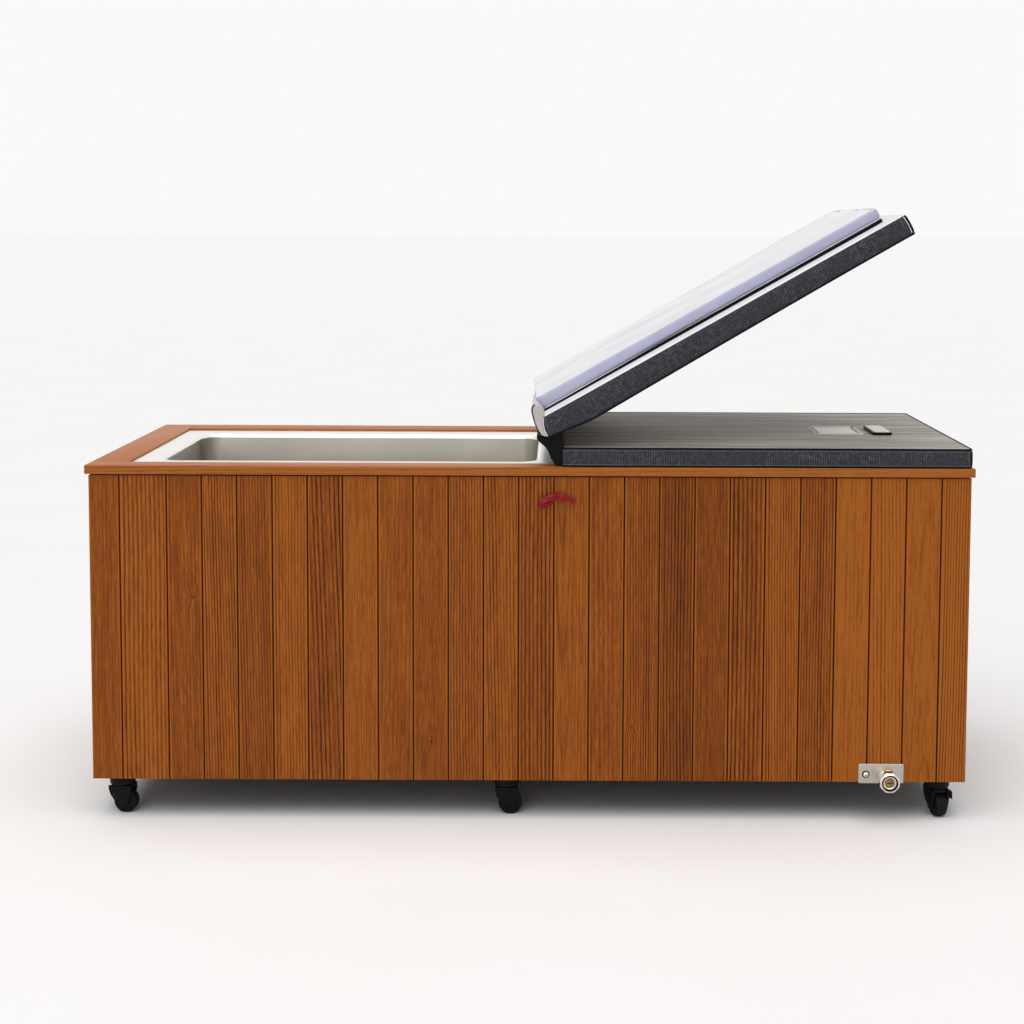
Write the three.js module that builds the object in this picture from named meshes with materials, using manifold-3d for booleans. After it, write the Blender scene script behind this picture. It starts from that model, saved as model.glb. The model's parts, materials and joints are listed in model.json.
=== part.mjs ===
// Cold plunge tub: timber cabinet on casters, steel basin in the left half,
// equipment bay in the right half, two-leaf folding lid.
// Millimetres. X to the right, Y to the back, Z up, floor at Z = 0.
import * as THREE from 'three';
import { mergeVertices } from 'three/addons/utils/BufferGeometryUtils.js';
import ManifoldModule from 'manifold-3d';

const wasm = await ManifoldModule();
wasm.setup();
const { Manifold, Mesh: ManifoldMesh } = wasm;

// Overall sizes
const RIM_LENGTH = 2000;
const RIM_DEPTH = 800;
const RIM_THICK = 20;
const RIM_OVERHANG = 6;
const GAP = 0.3;            // clearance between neighbouring pieces

// Casters, which set the height of the cabinet's underside
const WHEEL_R = 27;
const WHEEL_WIDTH = 29;
const CASTER_HEAD = 37;     // from the top of the wheel to the cabinet
const CASTER_TRAIL = 9;
const CASTER_IN_LEFT = 57;  // swivel axes in from the cladding faces
const CASTER_IN_RIGHT = 56;
const CASTER_IN_DEPTH = 49;
const CASTER_MID_X = -53;
const AXLE_R = 4;
const WHEEL_SIDE_GAP = 0.7;
const CHEEK_THICK = 6.3;
// Heading of each caster: angle of the trail about Z, in degrees
const CASTER_TURN = { fl: 352, fm: 0, fr: 283, rl: 150, rm: 200, rr: 75 };
const CABINET_BOTTOM = 2 * WHEEL_R + CASTER_HEAD;

// Heights: the casters and the basin's depth set the top of the rim
const BASIN_DEPTH = 600;
const FLOOR_UP = 115;       // basin floor above the cabinet's underside
const FLANGE_DROP = 4;      // basin flange below the board tops
const BASIN_FLOOR = CABINET_BOTTOM + FLOOR_UP;
const FLANGE_TOP = BASIN_FLOOR + BASIN_DEPTH;
const RIM_TOP = FLANGE_TOP + FLANGE_DROP;

// Cladding
const CLAD_THICK = 19;
const BOARD_PITCH = 79.3;
const FIRST_BOARD = 70;
const SECOND_BOARD = 106;
const VEE_HALF = 1.3;
const VEE_DEEP = 3;
const CLAD_X = RIM_LENGTH / 2 - RIM_OVERHANG;   // outer face of the end cladding
const CLAD_Y = RIM_DEPTH / 2 - RIM_OVERHANG;    // outer face of the front cladding
const CLAD_TOP = RIM_TOP - RIM_THICK - GAP;
const INNER_X = CLAD_X - CLAD_THICK;
const INNER_Y = CLAD_Y - CLAD_THICK;

// Rim boards, seen from above
const END_BOARD = 84;
const FRONT_BOARD = 64;
const BACK_BOARD = 88;
const RIM_CHAMFER = 3;

// Basin
const FLANGE = 58;           // at both ends
const FLANGE_FRONT = 62;
const FLANGE_BACK = 86;
const SHEET = 2;
const BASIN_CORNER = 48;
const BASIN_FLOOR_ROUND = 40;
const SHADOW_GAP = 1.2;     // round the flange
const BASIN_X0 = -RIM_LENGTH / 2 + END_BOARD + FLANGE;
const BASIN_X1 = 12;
const BASIN_Y0 = -RIM_DEPTH / 2 + FRONT_BOARD + FLANGE_FRONT;
const BASIN_Y1 = RIM_DEPTH / 2 - BACK_BOARD - FLANGE_BACK;
const FOAM_UNDER = 36;
const FOAM_SIDE = 40;
const DRAIN_HOLE_R = 22;
const STRAINER_TAIL = 46;   // below the basin floor

// Lid
const LOWER_THICK = 43;
const UPPER_THICK = 50;
const LEAF_IN_RIGHT = 7;     // leaf edges in from the rim's edges
const LEAF_IN_FRONT = 4;
const LEAF_IN_BACK = 47;
const LEAF_START = 3;       // lower leaf past the basin flange
const LEAF_COVER = 43.4;    // closed folding leaf past the basin's left wall
const LOWER_X0 = BASIN_X1 + FLANGE + LEAF_START;
const LOWER_X1 = RIM_LENGTH / 2 - LEAF_IN_RIGHT;
const LEAF_FRONT = -RIM_DEPTH / 2 + LEAF_IN_FRONT;
const LEAF_BACK = RIM_DEPTH / 2 - LEAF_IN_BACK;
const FOLD_GAP = 37.8;      // from the lower leaf's end to the fold line
const PIVOT_X = LOWER_X0 - FOLD_GAP;
const PIVOT_RISE = 29.8;    // pivot above the lower leaf's top
const LID_TOP = RIM_TOP + GAP + LOWER_THICK;
const RAISED = THREE.MathUtils.degToRad(29.6);  // raised leaf above level, leaning right
const LEAF_CORNER = 8;
const LEAF_EDGE = 5;        // rounding of the leaf edges
const PLUG_ON_END = 6.5;    // closed plug past the well, resting on the flange
const PLUG_ON_FRONT = 38;
const PLUG_ON_BACK = 74;
const SEAL_THICK = 9;
const PLUG_THICK = 27.5;
const PLUG_CORNER = 16;
const PLUG_EDGE = 6;

// Control window and pod on the lower leaf
const WINDOW_IN = 253;      // middle of the window from the leaf's right end
const POD_IN = 154;
const WINDOW = { x: LOWER_X1 - WINDOW_IN, y: -47, w: 114, d: 154 };
const POD = { x: LOWER_X1 - POD_IN, y: -69, w: 46, d: 138, h: 7 };

// Drain fitting on the front
const DRAIN_IN = 183;       // from the right end of the cladding
const DRAIN_UP = 14;        // above the cabinet's underside
const DRAIN_X = CLAD_X - DRAIN_IN;
const DRAIN_Z = CABINET_BOTTOM + DRAIN_UP;
const DRAIN_REACH = 56;     // in front of the cladding
const DRAIN_PLATE = { x: DRAIN_X - 11, z: DRAIN_Z + 6, w: 103, h: 45, t: 3 };
const DRAIN_TAIL_R = 15;
const DRAIN_FLANGE_R = 22;
const DRAIN_NECK_R = 16;
const DRAIN_COLLAR_R = 22;   // to the flats of the nut
const DRAIN_PLUG_R = 11;
const DRAIN_FIT = 0.6;      // clearance round the tail

// Equipment
const BASE_THICK = 18;
const BULKHEAD_X = BASIN_X1 + FLANGE + 8;
const BULKHEAD_THICK = 12;
const BASE_Z0 = CABINET_BOTTOM;
const BASE_Z1 = CABINET_BOTTOM + BASE_THICK;
const FAN_R = 88;
const FAN_UP = 221;         // fan axis above the base panel
const FAN_Z = BASE_Z1 + FAN_UP;
const GLAND = { x: CLAD_X - 174, z: BASE_Z1 + 41, r: 11, out: 14 };

// The drain fitting reaches further out in front than the cable gland does behind, so everything
// is moved back by half of the difference to keep the origin under the middle of the whole.
const Y_SHIFT = (DRAIN_REACH - GLAND.out) / 2;

const group = new THREE.Group();
group.name = 'cold_plunge_tub';

const material = (name, color, roughness, metalness) =>
  Object.assign(new THREE.MeshStandardMaterial({ color, roughness, metalness }), { name });
const M = {
  cedar: material('cedar', 0x8a4618, 0.6, 0),
  ply: material('plywood', 0xb08a58, 0.8, 0),
  steel: material('stainless', 0xb8b2a8, 0.35, 1),
  frame: material('frame_steel', 0x55585c, 0.6, 0.6),
  foam: material('foam', 0xd9d2b4, 0.9, 0),
  vinyl: material('charcoal_vinyl', 0x3a3b40, 0.6, 0),
  white: material('white_vinyl', 0xeceaee, 0.5, 0),
  black: material('black_vinyl', 0x141414, 0.6, 0),
  light: material('light_plastic', 0xdcd7d0, 0.4, 0),
  nylon: material('black_nylon', 0x1a1918, 0.5, 0),
  tread: material('black_tread', 0x161514, 0.7, 0),
  chrome: material('chromed', 0xc8c4bc, 0.2, 1),
  brass: material('brass', 0x8c6f3f, 0.35, 1),
  ribbon: material('red_ribbon', 0x8a1a1c, 0.5, 0),
  grey: material('grey_plastic', 0x8b8d90, 0.5, 0),
  hose: material('hose', 0x3c3f42, 0.7, 0),
};

// Geometry helpers
const weld = (geo) => {
  const bare = new THREE.BufferGeometry();
  const flat = geo.index ? geo.toNonIndexed() : geo;
  bare.setAttribute('position', flat.getAttribute('position').clone());
  return mergeVertices(bare, 1e-3);
};
const toManifold = (geo) => {
  const g = weld(geo);
  const tri = [];
  const ix = g.index.array;
  for (let i = 0; i < ix.length; i += 3) {
    const [a, b, c] = [ix[i], ix[i + 1], ix[i + 2]];
    if (a !== b && b !== c && a !== c) tri.push(a, b, c);
  }
  return new Manifold(new ManifoldMesh({
    numProp: 3,
    vertProperties: new Float32Array(g.getAttribute('position').array),
    triVerts: new Uint32Array(tri),
  }));
};
const fromManifold = (m) => {
  const mesh = m.getMesh();
  const g = new THREE.BufferGeometry();
  const p = new Float32Array(mesh.numVert * 3);
  for (let i = 0; i < mesh.numVert; i++) {
    for (let k = 0; k < 3; k++) p[i * 3 + k] = mesh.vertProperties[i * mesh.numProp + k];
  }
  g.setAttribute('position', new THREE.BufferAttribute(p, 3));
  g.setIndex(Array.from(mesh.triVerts));
  return g;
};
const union = (...geos) => fromManifold(geos.map(toManifold).reduce((a, b) => a.add(b)));
const cut = (geo, ...tools) =>
  fromManifold(tools.map(toManifold).reduce((a, b) => a.subtract(b), toManifold(geo)));

const common = (a, b) => fromManifold(toManifold(a).intersect(toManifold(b)));

const add = (name, geo, mat) => {
  const g = weld(geo);
  g.translate(0, Y_SHIFT, 0);
  g.computeVertexNormals();
  const mesh = new THREE.Mesh(g, mat);
  mesh.name = name;
  group.add(mesh);
  return mesh;
};
const box = (x0, x1, y0, y1, z0, z1) => {
  const g = new THREE.BoxGeometry(x1 - x0, y1 - y0, z1 - z0);
  g.translate((x0 + x1) / 2, (y0 + y1) / 2, (z0 + z1) / 2);
  return g;
};
// Lathe about Z from [radius, height] pairs; a profile off the axis closes on itself.
const turned = (profile, segments = 24) => {
  const pts = profile.map(([r, z]) => new THREE.Vector2(r, z));
  if (profile[0][0] > 0) pts.push(pts[0].clone());
  const area = pts.reduce((s, p, i) => {
    const q = pts[(i + 1) % pts.length];
    return s + p.x * q.y - q.x * p.y;
  }, 0);
  if (area < 0) pts.reverse();
  const g = new THREE.LatheGeometry(pts, segments);
  g.rotateX(Math.PI / 2);
  return g;
};
const alongY = (g, x, y, z) => g.clone().rotateX(Math.PI / 2).translate(x, y, z);  // +Z to -Y
const alongX = (g, x, y, z) => g.clone().rotateY(Math.PI / 2).translate(x, y, z);  // +Z to +X
const rod = (r, length, segments = 24) => turned([[0, 0], [r, 0], [r, length], [0, length]], segments);
// Flat outline in a plane, pushed out along that plane's normal.
const plate = (points, depth) => {
  const shape = new THREE.Shape(points.map(([x, y]) => new THREE.Vector2(x, y)));
  return new THREE.ExtrudeGeometry(shape, { depth, bevelEnabled: false, curveSegments: 6 });
};
const tube = (points, radius, steps = 24, sides = 12) => {
  const path = new THREE.CatmullRomCurve3(points.map((p) => new THREE.Vector3(...p)), false, 'centripetal');
  const ring = new THREE.Shape();
  for (let i = 0; i < sides; i++) {
    const a = (i / sides) * 2 * Math.PI;
    ring[i ? 'lineTo' : 'moveTo'](radius * Math.cos(a), radius * Math.sin(a));
  }
  ring.closePath();
  return new THREE.ExtrudeGeometry(ring, { steps, extrudePath: path, curveSegments: 1 });
};
// Rounded rectangle as a ring of points at one height.
const ring = (x0, x1, y0, y1, r, z, per = 4) => {
  const out = [];
  const corners = [[x1 - r, y1 - r, 0], [x0 + r, y1 - r, 90], [x0 + r, y0 + r, 180], [x1 - r, y0 + r, 270]];
  for (const [cx, cy, a0] of corners) {
    for (let i = 0; i <= per; i++) {
      const a = THREE.MathUtils.degToRad(a0 + (90 * i) / per);
      out.push([cx + r * Math.cos(a), cy + r * Math.sin(a), z]);
    }
  }
  return out;
};
// Closed skin through a list of rings; both ends are closed by a point in the middle.
const skin = (rings) => {
  const n = rings[0].length;
  const pos = [];
  const index = [];
  rings.forEach((r) => r.forEach((p) => pos.push(...p)));
  const middle = (r) => r.reduce((s, p) => s.map((v, k) => v + p[k] / n), [0, 0, 0]);
  const first = rings.length * n;
  pos.push(...middle(rings[0]), ...middle(rings[rings.length - 1]));
  for (let k = 0; k < rings.length - 1; k++) {
    for (let i = 0; i < n; i++) {
      const j = (i + 1) % n;
      const [a, b, c, d] = [k * n + i, k * n + j, (k + 1) * n + j, (k + 1) * n + i];
      index.push(a, b, c, a, c, d);
    }
  }
  const last = (rings.length - 1) * n;
  for (let i = 0; i < n; i++) {
    const j = (i + 1) % n;
    index.push(first, j, i, first + 1, last + i, last + j);
  }
  const g = new THREE.BufferGeometry();
  g.setAttribute('position', new THREE.Float32BufferAttribute(pos, 3));
  g.setIndex(index);
  return g;
};
// Padded slab with rounded edges and a slight crown on top.
const slab = (x0, x1, y0, y1, z0, z1, corner, edge, crown = 0) => {
  const rings = [];
  const at = (inset, z) => ring(x0 + inset, x1 - inset, y0 + inset, y1 - inset, corner - inset, z);
  const turns = [0, 30, 60, 90].map(THREE.MathUtils.degToRad);
  for (const a of turns) rings.push(at(edge * (1 - Math.sin(a)), z0 + edge * (1 - Math.cos(a))));
  for (const a of turns) rings.push(at(edge * (1 - Math.cos(a)), z1 - crown - edge * (1 - Math.sin(a))));
  if (crown) rings.push(ring(x0 + 120, x1 - 120, y0 + 120, y1 - 120, 40, z1));
  return skin(rings);
};

// Cladding panels: one run of boards each, with a V where two boards meet
const boards = (start, end, seams) => {
  const face = [[start, 0]];
  for (const s of seams) face.push([s - VEE_HALF, 0], [s, VEE_DEEP], [s + VEE_HALF, 0]);
  face.push([end, 0], [end, CLAD_THICK], [start, CLAD_THICK]);
  return plate(face, CLAD_TOP - CABINET_BOTTOM).translate(0, 0, CABINET_BOTTOM);
};
const longSeams = [FIRST_BOARD, FIRST_BOARD + SECOND_BOARD];
while (longSeams.at(-1) + BOARD_PITCH < 2 * CLAD_X - 40) longSeams.push(longSeams.at(-1) + BOARD_PITCH);
const longSide = boards(-CLAD_X, CLAD_X, longSeams.map((s) => s - CLAD_X));
const front = longSide.clone().translate(0, -CLAD_Y, 0);
const drainHole = alongY(rod(DRAIN_TAIL_R + DRAIN_FIT, 80), DRAIN_X, -CLAD_Y + 60, DRAIN_Z);
add('front_cladding', cut(front, drainHole), M.cedar);
const back = longSide.clone().rotateZ(Math.PI).translate(0, CLAD_Y, 0);
add('back_cladding', cut(back, alongY(rod(GLAND.r + GAP, 80), GLAND.x, CLAD_Y + 40, GLAND.z)), M.cedar);
const endHalf = INNER_Y - GAP;
const endSeams = [];
for (let y = -endHalf + BOARD_PITCH * 0.68; y < endHalf - 20; y += BOARD_PITCH) endSeams.push(y);
const end = boards(-endHalf, endHalf, endSeams);
add('left_cladding', end.clone().rotateZ(-Math.PI / 2).translate(-CLAD_X, 0, 0), M.cedar);
const VENT = 2 * FAN_R + 14;
const ventHole = box(INNER_X - 20, CLAD_X + 20, -VENT / 2, VENT / 2, FAN_Z - VENT / 2, FAN_Z + VENT / 2);
add('right_cladding', cut(end.clone().rotateZ(Math.PI / 2).translate(CLAD_X, 0, 0), ventHole), M.cedar);

// Rim boards with a chamfer under the outer edges
const rimBoard = (x0, x1, y0, y1, low) => {
  const c = RIM_CHAMFER;
  const z0 = RIM_TOP - RIM_THICK;
  const rings = [
    ring(x0 + low[0] * c, x1 - low[1] * c, y0 + low[2] * c, y1 - low[3] * c, 0.5, z0, 1),
    ring(x0, x1, y0, y1, 0.5, z0 + c, 1),
    ring(x0, x1, y0, y1, 0.5, RIM_TOP - 1.5, 1),
    ring(x0 + 1.5, x1 - 1.5, y0 + 1.5, y1 - 1.5, 0.5, RIM_TOP, 1),
  ];
  return skin(rings);
};
const endIn = RIM_LENGTH / 2 - END_BOARD;
const endFront = -RIM_DEPTH / 2 + FRONT_BOARD + GAP;
add('rim_left', rimBoard(-RIM_LENGTH / 2, -endIn, endFront, RIM_DEPTH / 2, [1, 0, 0, 1]), M.cedar);
add('rim_right', rimBoard(endIn, RIM_LENGTH / 2, endFront, RIM_DEPTH / 2, [0, 1, 0, 1]), M.cedar);
add('rim_front', rimBoard(-RIM_LENGTH / 2, RIM_LENGTH / 2, -RIM_DEPTH / 2, -RIM_DEPTH / 2 + FRONT_BOARD,
  [1, 1, 1, 0]), M.cedar);
add('rim_back', rimBoard(-endIn + GAP, endIn - GAP, RIM_DEPTH / 2 - BACK_BOARD, RIM_DEPTH / 2,
  [0, 0, 0, 1]), M.cedar);

// Base panel, with a notch where the drain passes through its front edge
const base = box(-INNER_X + GAP, INNER_X - GAP, -INNER_Y + GAP, INNER_Y - GAP, BASE_Z0, BASE_Z1);
const NOTCH = { left: 95, right: 32, deep: 120 };
const notch = box(DRAIN_X - NOTCH.left, DRAIN_X + NOTCH.right, -INNER_Y - 10, -INNER_Y + NOTCH.deep,
  BASE_Z0 - 10, BASE_Z1 + 10);
add('base_panel', cut(base, notch), M.ply);

// Welded inner frame: corner posts, two middle posts and a rail round the top
const POST = 40;
const POST_THICK = 20;
const RAIL = 30;
const POST_X = BULKHEAD_X + BULKHEAD_THICK + GAP;   // middle posts, behind the bulkhead
const FRAME_X = INNER_X - GAP;
const FRAME_Y = INNER_Y - GAP;
const FRAME_TOP = RIM_TOP - RIM_THICK - GAP;
const lowRail = FRAME_TOP - RAIL;
const frameParts = [];
for (const sy of [-1, 1]) {
  const [y0, y1] = [sy * FRAME_Y, sy * (FRAME_Y - POST_THICK)].sort((a, b) => a - b);
  frameParts.push(box(-FRAME_X, FRAME_X, y0, y1, lowRail, FRAME_TOP));
  for (const x of [-FRAME_X, POST_X, FRAME_X - POST]) {
    frameParts.push(box(x, x + POST, y0, y1, BASE_Z1 + GAP, FRAME_TOP));
  }
}
for (const x of [-FRAME_X, FRAME_X - POST_THICK]) {
  frameParts.push(box(x, x + POST_THICK, -FRAME_Y, FRAME_Y, lowRail, FRAME_TOP));
}
// Ledgers that the basin flange hangs on, tied to the rails by a cross rail
const LEDGE = 26;
const LEDGE_IN = 3;
const ledgeTop = FLANGE_TOP - SHEET - GAP;
const fx0 = BASIN_X0 - FLANGE + LEDGE_IN;
const fx1 = BASIN_X1 + FLANGE - LEDGE_IN;
const fy0 = BASIN_Y0 - FLANGE_FRONT + LEDGE_IN;
const fy1 = BASIN_Y1 + FLANGE_BACK - LEDGE_IN;
frameParts.push(
  box(POST_X, POST_X + POST, -FRAME_Y, FRAME_Y, lowRail, FRAME_TOP),
  box(-FRAME_X, POST_X + POST_THICK, fy1 - LEDGE, fy1, lowRail, FRAME_TOP),
  box(fx0, fx1, -FRAME_Y, fy0 + LEDGE, lowRail, FRAME_TOP),
  box(fx0, fx1, fy1 - LEDGE, fy1, lowRail, ledgeTop),
  box(fx0, fx1, fy0, fy0 + LEDGE, lowRail, ledgeTop),
  box(fx0, fx0 + LEDGE, fy0, fy1, lowRail, ledgeTop),
  box(fx1 - LEDGE, fx1, fy0, fy1, lowRail, ledgeTop));
add('inner_frame', union(...frameParts), M.frame);

// Steel basin: floor, rounded walls, rolled edge, flange with a short turned-down rim
const basinRing = (out, r, z) =>
  ring(BASIN_X0 - out, BASIN_X1 + out, BASIN_Y0 - out, BASIN_Y1 + out, r, z, 5);
const flangeRing = (inset, z) => ring(
  BASIN_X0 - FLANGE + SHADOW_GAP + inset, BASIN_X1 + FLANGE - SHADOW_GAP - inset,
  BASIN_Y0 - FLANGE_FRONT + SHADOW_GAP + inset, BASIN_Y1 + FLANGE_BACK - SHADOW_GAP - inset, 6, z, 5);
const LIP = 9;
const wellSkin = (grow) => {
  // From the middle of the floor up to the flange, grown outwards by the sheet thickness
  const rings = [basinRing(-BASIN_FLOOR_ROUND - 30, 16, BASIN_FLOOR - grow)];
  for (const deg of [0, 22.5, 45, 67.5, 90]) {
    const a = THREE.MathUtils.degToRad(deg);
    const r = BASIN_FLOOR_ROUND + grow;
    rings.push(basinRing(-BASIN_FLOOR_ROUND + r * Math.sin(a), Math.max(BASIN_CORNER - BASIN_FLOOR_ROUND
      + r * Math.sin(a), 6), BASIN_FLOOR + BASIN_FLOOR_ROUND - r * Math.cos(a)));
  }
  for (const deg of [0, 30, 60, 90]) {
    const a = THREE.MathUtils.degToRad(deg);
    const r = LIP - grow;
    const out = LIP - r * Math.cos(a);
    rings.push(basinRing(out, BASIN_CORNER + out, FLANGE_TOP - LIP + r * Math.sin(a)));
  }
  return rings;
};
const inside = wellSkin(0);
const outside = wellSkin(SHEET);
const basinShell = skin([...inside, flangeRing(0, FLANGE_TOP), flangeRing(0, FLANGE_TOP - SHEET),
  ...outside.reverse()].reverse());
const STRAINER = { x: (BASIN_X0 + BASIN_X1) / 2, y: (BASIN_Y0 + BASIN_Y1) / 2 };
const drainCut = rod(DRAIN_HOLE_R + 0.4, 200).translate(STRAINER.x, STRAINER.y, BASIN_FLOOR - 100);
const SUCTION = { y: -120, z: BASIN_FLOOR + 124 };
const RETURN = { y: 90, z: BASIN_FLOOR + 314 };
const LINE_R = 18;
const lineCut = (p) => alongX(rod(LINE_R + 0.4, 120, 20), BASIN_X1 - 30, p.y, p.z);
add('steel_basin', cut(basinShell, drainCut, lineCut(SUCTION), lineCut(RETURN)), M.steel);

// Strainer through the basin floor, with its tail under the foam
const strainer = turned([[0, -STRAINER_TAIL], [14, -STRAINER_TAIL], [14, -SHEET - 2.5], [30, -SHEET - 2.5],
  [30, -SHEET - 0.4],
  [DRAIN_HOLE_R, -SHEET - 0.4], [DRAIN_HOLE_R, GAP], [34, GAP], [32, 3], [0, 3]], 20);
const slots = [0, 60, 120].map((deg) => box(-24, 24, -2.5, 2.5, 1, 8).rotateZ(THREE.MathUtils.degToRad(deg)));
add('basin_strainer', cut(strainer, ...slots).translate(STRAINER.x, STRAINER.y, BASIN_FLOOR), M.chrome);

// Foam bonded round the outside of the basin
const FOAM_FIT = SHEET + 0.8;
const foamOuter = (r, z) => ring(BASIN_X0 - FOAM_SIDE - SHEET, BASIN_X1 + FOAM_SIDE + SHEET,
  BASIN_Y0 - FOAM_SIDE - SHEET, BASIN_Y1 + FOAM_SIDE + SHEET, r, z, 5);
const foamTop = lowRail - 3;
// The cavity follows the outside of the well: its floor rings and the start of its walls
const foamIn = [...wellSkin(FOAM_FIT).slice(0, 6), basinRing(FOAM_FIT, BASIN_CORNER + FOAM_FIT, foamTop)];
const foamBottom = BASIN_FLOOR - SHEET - FOAM_UNDER;
const foam = skin([...foamIn, foamOuter(60, foamTop), foamOuter(60, foamBottom)].reverse());
const foamDrain = rod(32, 200).translate(STRAINER.x, STRAINER.y, BASIN_FLOOR - 100);
add('foam_shell', cut(foam, foamDrain, lineCut(SUCTION), lineCut(RETURN)), M.foam);

// Bulkhead between basin and equipment bay
const bulk = box(BULKHEAD_X, BULKHEAD_X + BULKHEAD_THICK, -FRAME_Y + GAP, FRAME_Y - GAP,
  foamBottom, lowRail - 3);
add('bay_bulkhead', cut(bulk, lineCut(SUCTION), lineCut(RETURN)), M.ply);

// Deck over the equipment bay, level with the rim boards
const DECK_GAP = 2;
const deckX0 = BASIN_X1 + FLANGE + DECK_GAP;
add('equipment_deck', box(deckX0, endIn - GAP, -RIM_DEPTH / 2 + FRONT_BOARD + GAP,
  RIM_DEPTH / 2 - BACK_BOARD - GAP, FRAME_TOP + GAP, RIM_TOP - 1), M.ply);

// Pump and filter canister on the base
const PUMP = { fromBulkhead: 192, up: 70, long: 190, inletR: 34, headR: 52, headLong: 60, motorR: 42,
  footLong: 110, footHalf: 45 };
const pumpX = BULKHEAD_X + PUMP.fromBulkhead;
const pumpZ = BASE_Z1 + PUMP.up;
const pumpFootX = pumpX + PUMP.headLong;
const pumpBody = alongX(turned([[0, 0], [PUMP.inletR, 0], [PUMP.headR, 14], [PUMP.headR, PUMP.headLong],
  [PUMP.motorR, PUMP.headLong + 6], [PUMP.motorR, PUMP.long], [0, PUMP.long]]), pumpX, SUCTION.y, pumpZ);
const pumpFoot = box(pumpFootX, pumpFootX + PUMP.footLong,
  SUCTION.y - PUMP.footHalf, SUCTION.y + PUMP.footHalf, BASE_Z1 + GAP, pumpZ - PUMP.motorR / 2);
add('circulation_pump', union(pumpBody, pumpFoot), M.nylon);
const FILTER = { fromBulkhead: 222, y: 150, r: 65, nutR: 74, neckR: 40, tall: 321, nutDown: 60,
  shoulder: 30 };
const filterTop = BASE_Z1 + FILTER.tall;
const nutLow = filterTop - FILTER.nutDown;
const nutHigh = filterTop - FILTER.shoulder;
add('filter_canister', turned([[0, BASE_Z1 + GAP], [FILTER.r, BASE_Z1 + GAP], [FILTER.r, nutLow],
  [FILTER.nutR, nutLow + 2], [FILTER.nutR, nutHigh], [FILTER.neckR, filterTop], [0, filterTop]])
  .translate(BULKHEAD_X + FILTER.fromBulkhead, FILTER.y, 0), M.light);

// Chiller case with a round outlet, fan in front of the vent, grille over the vent
const CHILLER = { fromPump: 60, fromEnd: 75, half: 230, tall: 411, corner: 16, edge: 6, inletDown: 90 };
const chillerX0 = pumpX + PUMP.long + CHILLER.fromPump;
const chillerX1 = INNER_X - CHILLER.fromEnd;
const chillerTop = BASE_Z1 + CHILLER.tall;
const chillerBox = slab(chillerX0, chillerX1, -CHILLER.half, CHILLER.half, BASE_Z1 + GAP, chillerTop,
  CHILLER.corner, CHILLER.edge);
const fanWell = alongX(rod(FAN_R + 8, 60), chillerX1 - 30, 0, FAN_Z);
const fanShaft = alongX(rod(6, 50), chillerX1 - 40, 0, FAN_Z);
add('chiller_case', union(cut(chillerBox, fanWell), fanShaft), M.grey);
const fanHub = turned([[6.5, 0], [24, 0], [24, 20], [18, 26], [6.5, 26]], 24);
const blades = [];
for (let i = 0; i < 5; i++) {
  blades.push(box(18, FAN_R, -16, 16, -1.2, 1.2).rotateX(0.5).translate(0, 0, 10)
    .rotateZ((i / 5) * 2 * Math.PI));
}
const FAN_BACK = chillerX1 - 27;
add('condenser_fan', alongX(union(fanHub, ...blades), FAN_BACK, 0, FAN_Z), M.nylon);
const GRILLE = VENT + 30;
const GRILLE_THICK = 4;
const grillePlate = box(CLAD_X + GAP, CLAD_X + GRILLE_THICK, -GRILLE / 2, GRILLE / 2,
  FAN_Z - GRILLE / 2, FAN_Z + GRILLE / 2);
const LOUVRE_PITCH = 22;
const LOUVRE_OPEN = 10;
const LOUVRE_IN = 15;
const louvres = [];
const louvreCount = Math.floor((VENT - 8) / LOUVRE_PITCH);
for (let i = 0; i < louvreCount; i++) {
  const z = FAN_Z + (i - (louvreCount - 1) / 2) * LOUVRE_PITCH;
  louvres.push(box(CLAD_X - 5, CLAD_X + 10, -VENT / 2 + LOUVRE_IN, VENT / 2 - LOUVRE_IN,
    z - LOUVRE_OPEN / 2, z + LOUVRE_OPEN / 2));
}
add('vent_grille', cut(grillePlate, ...louvres), M.nylon);

// Water lines: wall fitting in the basin, then a hose
const FITTING = { rim: 30, rimBack: 32, proud: 3.5, long: 110, hose: 12 };
const wallFitting = turned([[0, 0], [FITTING.rim, 0], [FITTING.rimBack, FITTING.proud],
  [LINE_R, FITTING.proud], [LINE_R, FITTING.long], [0, FITTING.long]], 20);
const line = (p, points) => union(
  alongX(wallFitting, BASIN_X1 - FITTING.proud - GAP, p.y, p.z),
  tube(points, FITTING.hose, 14, 8));
const HOSE = { start: 95, bend: 40, drop: 60, level: 30 };
const lineEnd = BASIN_X1 + HOSE.start;
add('suction_line', line(SUCTION, [[lineEnd, SUCTION.y, SUCTION.z],
  [lineEnd + HOSE.bend, SUCTION.y, SUCTION.z - 4],
  [lineEnd + 2 * HOSE.bend, SUCTION.y, SUCTION.z - HOSE.drop],
  [pumpX - 2 * HOSE.level, SUCTION.y, pumpZ + HOSE.drop / 3],
  [pumpX - HOSE.level, SUCTION.y, pumpZ], [pumpX - GAP, SUCTION.y, pumpZ]]), M.hose);
const inletZ = chillerTop - CHILLER.inletDown;
add('return_line', line(RETURN, [[lineEnd, RETURN.y, RETURN.z],
  [lineEnd + 4 * HOSE.bend, RETURN.y - HOSE.bend, RETURN.z - HOSE.bend / 2],
  [chillerX0 - 3 * HOSE.level, HOSE.bend / 4, inletZ + 2], [chillerX0 - HOSE.bend, 0, inletZ],
  [chillerX0 - GAP, 0, inletZ]]), M.hose);

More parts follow.
